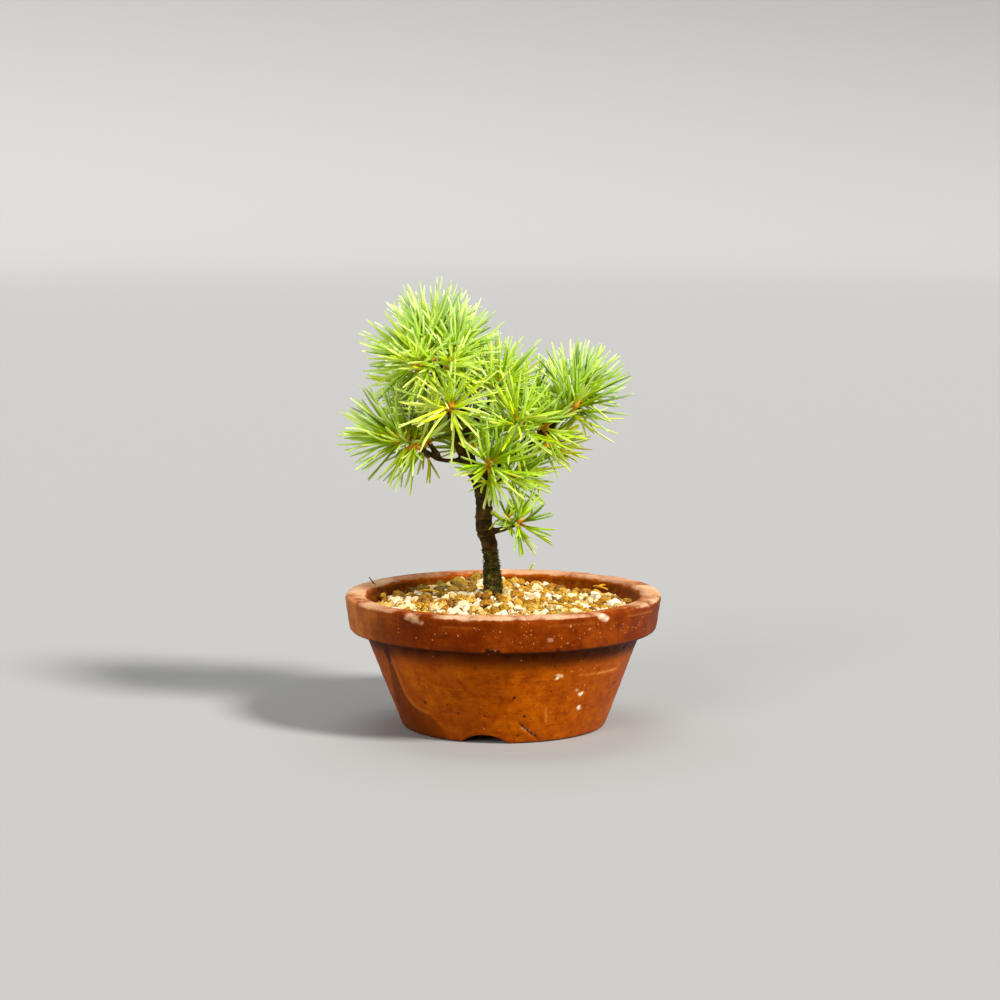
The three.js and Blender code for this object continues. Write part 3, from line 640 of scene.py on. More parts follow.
def pine_needle():
    """A living needle of five-needle pine: waxy and satin, vivid yellow-green on its rounded outer
    side, pale with rows of white pores on its two inner sides, yellower at the root."""
    material, add, shader = new_material(
        "pine_needle", Roughness=0.36, Specular_IOR_Level=0.24, Specular_Tint="#ccff70",
        Subsurface_Weight=0.25, Subsurface_Radius=(0.6, 0.7, 0.15), Subsurface_Scale=1.0 * MM)
    way = add("UVMap", uv_map="UVMap")
    around = add("SeparateXYZ", way, out="X")
    along = add("SeparateXYZ", way, out="Y")
    tone, dry, pale = (
        add("Attribute", out="Fac", attribute_name=name)
        for name in ("tone", "dry", "pale"))
    off_middle = add("Math", around, 0.5, operation="SUBTRACT")
    off_middle = add("Math", off_middle, operation="ABSOLUTE")
    inner = add("MapRange", off_middle, 0.22, 0.28)
    outer_side = add("ValToRGB", tone, stops=[
        (0.0, "#4e7000"), (0.35, "#98ba00"), (0.7, "#cce800"), (1.0, "#ecfa2c")])
    inner_side = add("ValToRGB", tone, stops=[(0.0, "#88b400"), (0.4, "#c0e42c"), (1.0, "#e8fc80")])
    colour = add("MixRGB", inner, outer_side, inner_side)
    root = add("MapRange", along, 0.0, 0.3, 0.7, 0.0)
    colour = add("MixRGB", root, colour, "#dcdc00")
    # Wax and a painted highlight make the outer end of a needle paler, more on the shoots that face the
    # light.
    wax_and_highlight = add("MapRange", along, 0.4, 1.0, To_Max=0.9)
    wax_and_highlight = add("Math", wax_and_highlight, pale, operation="MULTIPLY")
    colour = add("MixRGB", wax_and_highlight, colour, "#e2fcc4")
    colour = add("MixRGB", dry, colour, "#cc7c10")
    fill(shader, Base_Color=colour)
    return material


def damp_moss():
    """Moss and algae on the butt of the trunk: very dark green, damp."""
    material, add, shader = new_material("damp_moss", Roughness=0.6, Specular_IOR_Level=0.2)
    place = add("TexCoord", out="Object")
    patches = add("TexNoise", place, Scale=finer(1.8), Detail=3.0)
    colour = add("ValToRGB", patches, stops=[(0.35, "#141200"), (0.55, "#343204"), (0.75, "#7a741e")])
    fill(shader, Base_Color=colour)
    return material


def moulded_net_plastic():
    """Polyethylene net, moulded: nearly black, waxy, with a dull fine texture."""
    material, add, shader = new_material("moulded_net_plastic", IOR=1.51)
    place = add("TexCoord", out="Object")
    texture = add("TexNoise", place, Scale=finer(0.4), Detail=3.0)
    colour = add("ValToRGB", texture, stops=[(0.35, "#1b1b18"), (0.7, "#2c2c27")])
    gloss = add("MapRange", texture, To_Min=0.45, To_Max=0.7)
    bump = add("Bump", Height=texture, Strength=0.4, Distance=0.05 * MM)
    fill(shader, Base_Color=colour, Roughness=gloss, Normal=bump)
    return material


# ---- Pot ----


def wall_radius(z):
    """Of the outside below the band, at this height."""
    return FOOT_RADIUS + WALL_FLARE * z


def inner_radius(z):
    """Of the inside, at this height."""
    return wall_radius(z) - WALL_THICKNESS


def band_radius(z):
    """Of the band, at this height."""
    return RIM_RADIUS - BAND_TAPER * (POT_HEIGHT - z) / BAND_HEIGHT


def pot_outline():
    """The closed outline, anticlockwise: straight sides between corners (radius, height, rounding,
    spacing on the side that follows), with a quadratic arc cut across each corner."""
    ring_inside = FOOT_RADIUS - FOOT_RING_WIDTH
    # From here down the soil hides the inside, which gets coarser rows.
    under_soil = 37.0
    corners = np.array([
        (ring_inside, 0, 0.6, 0.8),
        (FOOT_RADIUS, 0, 1.3, 0.45),
        (wall_radius(BAND_BOTTOM), BAND_BOTTOM, 0.8, 0.5),
        (band_radius(BAND_BOTTOM), BAND_BOTTOM, 1.25, 0.38),
        (RIM_RADIUS, POT_HEIGHT, 1.9, 0.36),
        (inner_radius(POT_HEIGHT), POT_HEIGHT, 1.5, 0.6),
        (inner_radius(under_soil), under_soil, 1.0, 3.0),
        (inner_radius(FLOOR_TOP), FLOOR_TOP, 3.0, 2.4),
        (DRAIN_RADIUS, FLOOR_TOP, 0.6, 0.8),
        (DRAIN_RADIUS, FOOT_RECESS, 0.6, 2.4),
        (ring_inside - 1.5, FOOT_RECESS, 0.7, 0.6),
    ])
    places, rounding, spacing = corners[:, :2], corners[:, 2:3], corners[:, 3]
    arrive = places + unit(np.roll(places, 1, axis=0) - places) * rounding
    leave = places + unit(np.roll(places, -1, axis=0) - places) * rounding
    outline = []
    t = np.linspace(0, 1, 6)[:, None]
    for i, corner in enumerate(places):
        outline.append(arrive[i] * (1 - t) ** 2 + 2 * corner * t * (1 - t) + leave[i] * t**2)
        side = arrive[(i + 1) % len(places)] - leave[i]
        steps = max(1, round(np.linalg.norm(side) / spacing[i]))
        outline.append(leave[i] + side * (np.arange(1, steps) / steps)[:, None])
    return np.vstack(outline)


# Marks on the outside, as (degrees round from +X, height, radius).
WHITE_SPOTS = [(-65.5, 21.7, 0.85), (-50.8, 15.1, 0.8), (-49.0, 10.5, 0.8), (-53.5, 16.6, 0.4)]
DARK_PITS = [
    (-131.1, 11.8, 0.5), (-112.7, 9.7, 0.4), (-99.3, 9.2, 0.35), (-85.1, 15.3, 0.5),
    (-79.6, 9.0, 0.45), (-24.3, 15.5, 0.5), (-27.5, 13.0, 0.4), (-82.2, 2.6, 0.35),
]
BAND_CHIPS = [(-95.6, 31.6, 0.8), (-93.9, 31.3, 0.6), (-92.0, 31.5, 0.5), (-70.2, 31.4, 0.5)]
BAND_CRUMBS = [(-73.9, 34.9, 0.8), (-72.6, 34.8, 0.6), (-84.2, 34.4, 0.5), (-110.5, 36.6, 0.5),
               (-106.0, 34.6, 0.5), (-67.0, 33.4, 0.4), (-66.0, 38.6, 0.5), (-58.6, 37.2, 0.5)]
LIME_CRUMBS = [(-126.0, 40.8, 1.4), (-123.8, 40.4, 1.5), (-121.6, 40.0, 1.4), (-119.8, 39.3, 0.9),
               (-53.2, 40.8, 1.2), (-51.2, 39.8, 0.8)]
SPECK_FIELDS = [  # middle, half spreads in degrees and height, and the share of cells with a crumb
    (-36.0, 36.4, 9.0, 1.8, 0.6),
    (-68.0, 36.5, 22.0, 3.4, 0.22),
    (-84.0, 34.0, 6.0, 1.6, 0.45),
    (-110.0, 36.5, 22.0, 3.4, 0.12),
    (-150.0, 37.6, 16.0, 3.0, 0.16),
    (-52.0, 18.0, 12.0, 5.0, 0.04),
    (40.0, 36.0, 40.0, 3.4, 0.2),
    (140.0, 36.0, 45.0, 3.4, 0.2),
]
CRACK = [(-82.1, 6.9), (-80.0, 5.6), (-77.6, 4.5), (-75.2, 3.1), (-72.9, 2.3), (-70.6, 0.9)]
# A painted reflection down the left, darker inside with a pale right edge: its pale right edge, and its
# left edge.
REFLECTION_RIGHT_EDGE = [(-146.4, 24.8), (-145.6, 18.0), (-144.7, 13.2), (-140.3, 10.1), (-134.8, 8.8),
                (-129.0, 7.6), (-123.0, 4.0), (-120.0, 0.0)]
REFLECTION_LEFT_EDGE = [(-150.0, 24.8), (-155.3, 16.6), (-160.4, 10.5), (-166.0, 4.8), (-170.0, 0.0)]
# The first two are a scratch on the body's right with a painted highlight, a glint, along it; the others
# are scratches.
SCRATCHES_AND_GLINT = [  # both ends, half width in mm and how much lime
    ((-55.0, 21.6), (-43.0, 21.1), 0.34, 0.3),
    ((-43.0, 21.1), (-29.5, 21.0), 0.44, 0.6),
    ((-69.1, 11.3), (-67.9, 6.9), 0.3, 0.5),
    ((-74.0, 39.2), (-57.0, 39.1), 0.3, 0.15),
    ((-40.0, 39.6), (-22.0, 38.9), 0.3, 0.2),
    ((-112.0, 38.6), (-99.0, 38.7), 0.25, 0.12),
]


def on_outside(degrees, z):
    """The point on the pot's outside at this angle and height."""
    radius = np.where(np.asarray(z) > BAND_BOTTOM + 0.6, band_radius(z), wall_radius(z))
    return turned(radius, np.radians(degrees), z)


def dab(points, degrees, z, radius):
    """A soft round spot: exp(-(distance / radius)^2) from a place on the outside."""
    away = points - on_outside(degrees, z)
    return np.exp(-(away**2).sum(-1) / radius**2)


def stroke(points, start, end, width):
    """A soft line: exp(-(distance / width)^2) from the straight way between two places on the
    outside, with the wall unrolled: an angle counts as its arc at the point's own radius."""
    r = np.hypot(points[..., 0], points[..., 1])
    from_start = np.degrees(np.arctan2(points[..., 1], points[..., 0])) - start[0]
    from_start = np.radians((from_start + 180) % 360 - 180) * r
    from_start = np.stack([from_start, points[..., 2] - start[1]], axis=-1)
    way = np.stack([np.radians(end[0] - start[0]) * r, np.full_like(r, end[1] - start[1])], axis=-1)
    t = np.clip((from_start * way).sum(-1) / (way**2).sum(-1), 0, 1)
    away = from_start - t[..., None] * way
    return np.exp(-(away**2).sum(-1) / width**2) * (r > wall_radius(points[..., 2]) - 0.9)


def make_pot(material):
    """The outline turned about +Z. The foot's lowest 5 mm are squeezed up over three low arches,
    and the surface moves along its normal by throwing lines, wobble, wear, pits and crumbs."""
    rng = np.random.default_rng(5)
    outline = pot_outline()
    ahead = np.roll(outline, -1, axis=0) - np.roll(outline, 1, axis=0)
    normal = unit(np.stack([ahead[:, 1], -ahead[:, 0]], axis=-1))
    angle = turns(POT_COLUMNS)
    r, z = (np.repeat(outline[:, k : k + 1], POT_COLUMNS, axis=1) for k in (0, 1))
    nr, nz = (np.repeat(normal[:, k : k + 1], POT_COLUMNS, axis=1) for k in (0, 1))
    outside = (nr > -0.2) & (r > wall_radius(z) - 0.9) & (z < POT_HEIGHT - 0.3)
    near_lip = smoothstep(z, POT_HEIGHT - 2.2, POT_HEIGHT - 0.7) * (r > inner_radius(POT_HEIGHT) - 1.6)

    # Arches: how far a column is from each notch's middle, along the foot ring.
    arch = np.zeros_like(angle)
    for middle in np.radians(NOTCH_DEGREES):
        away = np.abs((angle - middle + np.pi) % (2 * np.pi) - np.pi) * (FOOT_RADIUS - 1)
        arch = np.maximum(arch, NOTCH_HEIGHT * np.clip(1 - (away / NOTCH_HALF_WIDTH) ** 2, 0, 1))
    zone = np.where(outside, 5.0, FOOT_RECESS)
    ring = (r > FOOT_RADIUS - FOOT_RING_WIDTH - 1.6) & (z < zone)
    lifted = arch + z * (zone - arch) / zone
    r = np.where(ring & outside & (z > 0.7), r + WALL_FLARE * (lifted - z), r)
    z = np.where(ring, lifted, z)

    bare = turned(r, angle, z)
    squeezed = bare * [1 / 30, 1 / 30, 1.0]
    relief = 0.06 * noise(squeezed, 1.5, 1, 3) + 0.05 * noise(bare, 1.3, 2, 2)
    relief += 0.22 * noise(bare, 26, 3)
    # The lip and the band's lower edge are worn in places.
    band_edge = np.exp(-((z - BAND_BOTTOM) ** 2)) * (r > band_radius(z) - 1.6)
    relief -= 0.14 * smoothstep(noise(bare, 3.2, 4, 3), 0.25, 0.9) * np.maximum(near_lip, band_edge)

    ragged = 0.35 * noise(bare, 2.4, 7, 3)
    top = smoothstep(z + ragged, POT_HEIGHT - 1.35, POT_HEIGHT - 0.75)
    degrees_round = np.degrees(angle)
    chalk = top * near_lip * (0.62 + 0.36 * noise(bare, 8, 6, 3))
    for degrees, wide in ((-122, 20), (-45, 24)):
        away = (degrees_round - degrees + 180) % 360 - 180
        chalk -= 0.3 * top * near_lip * np.exp(-((away / wide) ** 2))
    stain = np.zeros_like(r)
    # Painted shadow: the clay is darker just under the band, where the band's shadow falls.
    below = outside & (z < BAND_BOTTOM + 0.5)
    stain += 0.72 * smoothstep(z, BAND_BOTTOM - 9.5, BAND_BOTTOM - 1.0) * below
    for degrees, height, radius in WHITE_SPOTS:
        for _ in range(5):
            spot = dab(bare, degrees + rng.normal(0, 0.9), height + rng.normal(0, 0.4), radius * 0.55)
            chalk += 1.3 * spot
            relief += rng.uniform(0.0, 0.2) * spot
    for degrees, height, radius in DARK_PITS:
        spot = dab(bare, degrees, height, radius)
        relief -= 0.35 * spot
        stain += 1.2 * spot
    for degrees, height, radius in BAND_CHIPS:
        spot = dab(bare, degrees, height, radius)
        relief -= 0.55 * spot
        stain += 1.3 * spot
        chalk += 0.5 * (dab(bare, degrees, height + 0.2, radius * 1.5) - spot)
    for degrees, height, radius in LIME_CRUMBS:
        spot = dab(bare, degrees, height, radius) * (1 + 0.6 * noise(bare, 0.8, 8))
        relief += 0.25 * spot
        chalk += (0.55 if degrees < -90 else 1.4) * spot
    for degrees, height, radius in BAND_CRUMBS:
        spot = dab(bare, degrees, height, radius) * (1 + 0.8 * noise(bare, 0.6, 9))
        relief += 0.2 * spot
        chalk += 0.55 * spot
    specks = np.full_like(r, 0.015)
    for degrees, height, wide, tall, share in SPECK_FIELDS:
        away = (degrees_round - degrees + 180) % 360 - 180
        specks += share * np.exp(-((away / wide) ** 2) - ((z - height) / tall) ** 2) * outside
    for k, (start, end) in enumerate(zip(CRACK, CRACK[1:])):
        line = stroke(bare, start, end, 0.22 + 0.16 * (k % 2))
        relief -= 0.35 * line
        stain += 0.8 * line
        chalk += 0.3 * (stroke(bare, start, end, 0.7) - line)
    # Lighter along the scratches; along the first two this is also a painted glint.
    scratch_and_glint = np.zeros_like(r)
    for start, end, width, lime in SCRATCHES_AND_GLINT:
        line = lime * stroke(bare, start, end, width)
        scratch_and_glint += 1.3 * line
        chalk += 0.4 * line * (1 + 0.5 * noise(bare, 2.0, 10))
    # The painted reflection lies between its edges' degrees at each height: darker inside, and pale along
    # its right edge.
    signed = (degrees_round + 180) % 360 - 180
    right, left = (np.interp(z, *np.array(edge)[::-1, ::-1].T) for edge in (REFLECTION_RIGHT_EDGE, REFLECTION_LEFT_EDGE))
    soft = np.interp(z, [3, 9], [5.0, 0.6])
    painted_reflection = smoothstep(signed, left - 1.5, left + 2.5) * smoothstep(signed, right + soft, right - soft)
    stain += 0.5 * painted_reflection * below
    reflection_edge = np.zeros_like(r)
    for start, end in zip(REFLECTION_RIGHT_EDGE[:6], REFLECTION_RIGHT_EDGE[1:6]):
        reflection_edge = np.maximum(reflection_edge, stroke(bare, start, end, 0.8))
    for _ in range(70):
        spot = dab(bare, rng.uniform(-180, 180), rng.uniform(2, 40), rng.uniform(0.25, 0.6))
        relief -= rng.uniform(0.05, 0.25) * spot
        stain += rng.uniform(0.0, 0.7) * spot

    points = turned(r + relief * nr, angle, np.maximum(z + relief * nz, 0))
    banded = smoothstep(z, BAND_BOTTOM - 0.2, BAND_BOTTOM + 0.4) * (r > wall_radius(z) + 0.4)
    # At the left end of the band the brown skin is worn through to the lighter clay.
    worn_end = np.exp(-(((degrees_round - 196) / 19) ** 2)) * (0.8 + 0.5 * noise(bare, 5, 9, 3))
    banded = banded * (1 - np.clip(worn_end, 0, 1))
    upright = noise(bare * [1, 1, 0.3], 3.0, 11, 2)
    chalk += (0.1 + 0.2 * upright) * worn_end * (z > BAND_BOTTOM) * outside
    worn_end = worn_end * (0.7 + 0.3 * upright) * (z > BAND_BOTTOM) * outside
    # The pale right edge of the painted reflection, added here, is a painted highlight.
    worn = worn_end + scratch_and_glint + 0.42 * reflection_edge * smoothstep(signed, -128, -138) * below
    inner = (~outside & (near_lip < 0.5)).astype(float)
    faces = [sheet_faces(len(outline), POT_COLUMNS, closed_rows=True)]
    values = dict(band=banded, chalk=chalk, stain=stain, inside=inner, specks=specks, worn=worn)
    return new_piece(
        "thrown_pot", points.reshape(-1, 3), faces, material, ["pot"], values=values)


# ---- Soil ----


def soil_height(x, y):
    """The edge's height, plus a mound exp(-(d / spread)^2) round the trunk and a bank at the back."""
    from_trunk = np.hypot(x - TRUNK_FOOT[0], y - TRUNK_FOOT[1]) / MOUND_SPREAD
    from_bank = np.hypot(x - BANK_X, y - inner_radius(POT_HEIGHT)) / BANK_SPREAD
    mound, bank = MOUND_HEIGHT * np.exp(-(from_trunk**2)), BANK_HEIGHT * np.exp(-(from_bank**2))
    return SOIL_EDGE_HEIGHT + mound + bank


def make_fines(material):
    """The packed soil under the loose granules: a closed turned body in the pot, whose top follows
    the soil's surface a granule's depth lower, roughened by noise."""
    columns = 160
    bottom = FLOOR_TOP + 0.3
    wall_heights = np.linspace(FLOOR_TOP + 2.5, SOIL_EDGE_HEIGHT - FINES_DEPTH, 12)
    radii = np.concatenate([
        np.linspace(4, inner_radius(FLOOR_TOP) - 3, 8),
        inner_radius(wall_heights) - 0.35,
        np.linspace(inner_radius(SOIL_EDGE_HEIGHT) - 2.5, 0.6, 60),
    ])
    heights = np.concatenate([np.full(8, bottom), wall_heights, np.full(60, np.nan)])
    grid = turned(radii[:, None], turns(columns), heights[:, None])
    top = np.isnan(grid[..., 2])
    grid[..., 2] = np.where(top, soil_height(grid[..., 0], grid[..., 1]) - FINES_DEPTH, grid[..., 2])
    grid[..., 2] += top * 0.5 * noise(grid, 2.2, 21, 2)
    peak = [0, 0, grid[-1, :, 2].mean()]
    points, faces = capped_grid(grid, [0, 0, bottom], peak)
    return new_piece("packed_fines", points, faces, material, ["soil"])


def chance(column, row, kind):
    """A number from 0 to 1 for a place in a lattice: what a large multiple of a sine leaves after its
    whole part."""
    wave = np.sin(column * 12.9898 + row * 78.233 + kind * 37.719) * 43758.5453
    return wave - np.floor(wave)


def granule_places(rng):
    """Tops and radii of the granules. Large ones lie on a triangular lattice, each shifted by three
    draws for its place. A middle one fills the hollow between every three, and a small one most of
    the saddles between two. The largest come last. Those that meet the wall or the trunk are
    smaller."""
    count = 14
    column, row = np.meshgrid(np.arange(-2 * count, 2 * count), np.arange(-count, count), indexing="ij")
    shift = np.stack([2 * chance(column, row, kind) - 1 for kind in (1, 2, 3)], axis=-1)
    x = (column + row / 2) * GRANULE_STEP + shift[..., 0] * GRANULE_SCATTER
    y = row * GRANULE_STEP * math.sin(math.pi / 3) + shift[..., 1] * GRANULE_SCATTER
    tops = np.stack([x, y, soil_height(x, y) + shift[..., 2] * GRANULE_LIFT], axis=-1)
    a, b, c, d = tops[:-1, :-1], tops[1:, :-1], tops[:-1, 1:], tops[1:, 1:]
    hollows = np.stack([a + b + c, b + d + c]).reshape(-1, 3) / 3
    saddles = np.stack([a + b, b + c, a + c]).reshape(-1, 3) / 2
    saddles = saddles[rng.random(len(saddles)) < 0.55]
    kinds = (
        (tops.reshape(-1, 3), 0.1, 1.4, 2.2),
        (hollows, 0.1 - HOLLOW_DEPTH, 0.75, 1.3),
        (saddles, -0.6, 0.45, 0.9),
    )
    places, radii = [], []
    for spots, lift, smallest, largest in kinds:
        scatter = rng.normal(0, 0.22, spots.shape) + [0, 0, lift]
        places.append(spots + scatter)
        radii.append(rng.uniform(smallest, largest, len(spots)))
    x, y, large = np.array(LARGE_GRANULES).T
    places.append(np.stack([x, y, soil_height(x, y) + 1.3], axis=-1))
    radii.append(large)
    places, radii = np.vstack(places), np.concatenate(radii)
    room = inner_radius(places[:, 2] - 1.5) - 0.35 - np.hypot(places[:, 0], places[:, 1])
    room = np.minimum(room, np.hypot(*(places[:, :2] - TRUNK_FOOT).T) - 2.2)
    keep = room > 0.55
    return places[keep], np.minimum(radii, room)[keep]


def granule_shapes(rng, tops, radii, facets, sharpness):
    """Rounded random polyhedra: in direction d a granule reaches (sum over its facets k of
    max(0, d.n_k / h_k)^p)^(-1/p), with spread-out facet normals n_k and distances h_k."""
    rings, columns = 5, 8
    tilt = (np.arange(rings) + 0.5) * np.pi / rings
    grid = turned(np.sin(tilt)[:, None], turns(columns), np.cos(tilt)[:, None])[::-1]
    ways, blocks = capped_grid(grid, [0, 0, -1], [0, 0, 1])
    count = len(tops)
    k = np.arange(facets)
    height = 1 - (2 * k + 1) / facets
    flat = np.sqrt(1 - height**2)
    spread = turned(flat, k * GOLDEN_ANGLE, height)
    twist, _ = np.linalg.qr(rng.normal(size=(count, 3, 3)))
    normals = unit(spread @ twist + rng.normal(0, 0.22, (count, facets, 3)))
    depths = rng.uniform(0.72, 1.06, (count, facets, 1))
    facing = np.maximum(normals @ ways.T / depths, 0)
    reach = (facing**sharpness).sum(axis=1) ** (-1 / sharpness)
    reach = reach * rng.uniform(0.8, 1.12, reach.shape)
    stretch = rng.uniform(0.85, 1.25, (count, 1, 3)) * np.array([1.0, 1.0, 0.85])
    points = ways * (reach * radii[:, None])[..., None] * stretch
    points = tops[:, None] + points - [0, 0, 1] * points[..., 2].max(axis=1)[:, None, None]
    return points.reshape(-1, 3), repeated(len(ways), blocks, count), len(ways)


def make_granules(clay, pumice):
    """The loose top of the soil: granules of clay and of pumice, mixed in clumps."""
    rng = np.random.default_rng(23)
    tops, radii = granule_places(rng)
    x, y = tops[:, 0], tops[:, 1]
    clumps = noise(tops * [1, 1, 0.3], 6.0, 31, 2)
    share = 0.27 + 0.16 * smoothstep(x, -12, 28) + 0.34 * clumps
    is_pumice = rng.random(len(x)) < share
    is_pumice[-len(LARGE_GRANULES) :] = False
    back_left = smoothstep(y, 8, 26) * smoothstep(-x, -4, 22)
    for name, chosen, material, facets, sharpness in (
        ("clay_granules", ~is_pumice, clay, 11, 12),
        ("pumice_granules", is_pumice, pumice, 9, 16),
    ):
        points, faces, each = granule_shapes(rng, tops[chosen], radii[chosen], facets, sharpness)
        tone = np.clip(rng.beta(2.4, 2.0, chosen.sum()) - 0.25 * back_left[chosen], 0, 1)
        algae = np.clip(rng.normal(0.05, 0.16, chosen.sum()) + 0.6 * back_left[chosen], 0, 0.9)
        values = dict(tone=np.repeat(tone, each), algae=np.repeat(algae, each))
        new_piece(name, points, faces, material, ["soil"], smooth=False, values=values)


# ---- Wood ----


def trunk_radius(z):
    """The radius between the listed heights, blended by smoothstep."""
    heights, radii = np.array(TRUNK_RADII, float).T
    span = np.clip(np.searchsorted(heights, z) - 1, 0, len(heights) - 2)
    t = smoothstep(z, heights[span], heights[span + 1])
    return radii[span] * (1 - t) + radii[span + 1] * t


trunk = Route(TRUNK_POINTS)
ALL_SHOOTS = {name: {**USUAL_SHOOT, **shoot} for name, shoot in {**SHOOTS, **SIDE_SHOOTS}.items()}
for shoot in ALL_SHOOTS.values():
    shoot["way"] = Route(shoot["route"])
    shoot["leafy_from"] = 1 - shoot["leafy"] / shoot["way"].length


def wood_lines():
    """Points along every woody route with the radius, the distance walked and the route's number."""
    lines = [(trunk, 1.0, 160, None)]
    lines += [(shoot["way"], shoot["leafy_from"], 40, shoot["start"]) for shoot in ALL_SHOOTS.values()]
    points, radii, walked, number = [], [], [], []
    for i, (way, upto, count, start) in enumerate(lines):
        share = np.linspace(0, upto, count)
        points.append(way.at(share))
        radii.append(
            trunk_radius(points[-1][:, 2]) if start is None
            else np.linspace(start, TWIG_TIP_RADIUS, count))
        walked.append(share * way.length)
        number.append(np.full(count, i))
    return [np.concatenate(part) for part in (points, radii, walked, number)]


def make_wood(material):
    """Trunk and twigs as tubes, joined into one skin by a voxel remesh, then moved along its normals:
    wrinkles in rings by the distance along the nearest route, bark flakes, and knobs."""
    share = np.linspace(0, 1, 90)
    parts = [tube(trunk, share, trunk_radius(trunk.at(share)[:, 2]), 24, 0.5)]
    for shoot in ALL_SHOOTS.values():
        share = np.linspace(0, shoot["leafy_from"] + 0.6 / shoot["way"].length, 24)
        radii = np.linspace(shoot["start"], TWIG_TIP_RADIUS, 24)
        # A twig is swollen where it leaves its parent.
        radii = radii + 0.45 * np.exp(-((share * shoot["way"].length - 2.2) / 1.6) ** 2)
        parts.append(tube(shoot["way"], share, radii, 14, 0.5))
    points, faces = joined(parts)
    piece = new_piece("bark_and_twigs", points, faces, material, ["trunk_and_branches"])
    remesh = piece.modifiers.new("join", "REMESH")
    remesh.mode = "VOXEL"
    remesh.voxel_size = BARK_GRAIN * MM
    skin = bpy.data.meshes.new_from_object(piece.evaluated_get(bpy.context.evaluated_depsgraph_get()))
    piece.modifiers.remove(remesh)
    piece.data = skin
    count = len(skin.vertices)
    points, normals = np.empty(count * 3, np.float32), np.empty(count * 3, np.float32)
    skin.vertices.foreach_get("co", points)
    skin.vertices.foreach_get("normal", normals)
    points, normals = points.reshape(-1, 3) / MM, normals.reshape(-1, 3)

    line, radii, walked, number = wood_lines()
    nearest = np.empty(count, int)
    at_once = 4000  # more would take too much memory
    for first in range(0, count, at_once):
        away = points[first : first + at_once, None] - line[None].astype(np.float32)
        gap = np.sqrt((away**2).sum(-1)) - radii.astype(np.float32)
        nearest[first : first + at_once] = gap.argmin(axis=1)
    walked, number, thick = walked[nearest], number[nearest], radii[nearest]
    on_trunk = number == 0
    ring_place = np.stack([walked, number * 31.0, np.zeros(count)], axis=-1)
    ring_place[:, 2] = noise(points, 2.5, 41) * 0.8
    rings = 1 - 2 * np.abs(noise(ring_place, 1.15, 42, 2))
    flakes = noise(points * [1, 1, 0.6], 1.7, 43, 3)
    knobs = smoothstep(noise(points, 3.4, 44), 0.25, 0.9)
    strength = np.clip(thick / 2.4, 0.35, 1.0)
    relief = strength * (0.2 * rings + 0.2 * flakes + 0.3 * knobs * on_trunk)
    flare = 0.4 * np.exp(-(((points[:, 2] - 41) / 3.0) ** 2)) * (0.6 + noise(points, 4.0, 45))
    points = points + normals * (relief + flare * on_trunk)[:, None]
    skin.vertices.foreach_set("co", (points * MM).astype(np.float32).ravel())
    skin.polygons.foreach_set("use_smooth", np.full(len(skin.polygons), True))
    skin.update()
    values = dict(
        damp=smoothstep(-points[:, 2] + 3.0 * noise(points, 3.0, 46), -60, -50) * on_trunk,
        young=np.clip(1.25 - thick / 1.5, 0, 1),
        raised=np.clip(0.35 + 1.6 * relief, 0, 1) * on_trunk,
    )
    set_values(skin, values)
    return piece


def make_moss(material):
    """Short three-sided blades of moss, standing out at random from the lowest part of the trunk."""
    rng = np.random.default_rng(51)
    count = MOSS_BLADES
    z = GROUND - 0.6 + 13 * rng.random(count) ** 1.7
    turn = rng.uniform(0, 2 * np.pi, count)
    share = np.interp(z, trunk.at(np.linspace(0, 0.5, 200))[:, 2], np.linspace(0, 0.5, 200))
    middle = trunk.at(share)
    out = turned(1, turn, 0)
    root = middle + out * trunk_radius(z)[:, None]
    lean = unit(out + rng.normal(0, 0.55, (count, 3)) + [0, 0, 0.35])
    length = rng.uniform(0.35, 0.85, count)[:, None]
    side, other = square_to(lean, rng)
    foot = root[:, None] + 0.19 * swung(side[:, None], other[:, None], turns(3))
    points = np.concatenate([foot, (root + lean * length)[:, None]], axis=1)
    blade = [np.array([[0, 1, 3], [1, 2, 3], [2, 0, 3], [2, 1, 0]])]
    return new_piece(
        "trunk_moss", points.reshape(-1, 3), repeated(4, blade, count), material, smooth=False)


# ---- Shoots ----


def bundle_ways(shoot, rng):
    """Roots and directions of a shoot's bundles: the roots wind up the leafy end by the golden angle,
    squeezed to leave the bare gap, and a bundle leans more along the shoot the nearer it is to the
    bud."""
    count = shoot["bundles"]
    up = (np.arange(count) + 0.5) / count
    share = shoot["leafy_from"] + (1 - shoot["leafy_from"]) * (0.08 + 0.8 * up)
    along, side, over = shoot["way"].frame(share)
    bare = shoot["bare"]
    round_share = np.arange(count) * GOLDEN_ANGLE / (2 * np.pi) % 1
    turn = np.arctan2(over @ bare, side @ bare) + shoot["gap"] * (0.5 - round_share)
    turn = turn + round_share * 2 * np.pi + rng.normal(0, 0.16, count)
    lean = LOWEST_LEAN + (TOPMOST_LEAN - LOWEST_LEAN) * up**0.9 + rng.normal(0, 0.12, count)
    across = swung(side, over, turn)
    return shoot["way"].at(share) + across * STEM_RADIUS, swung(along, across, lean)


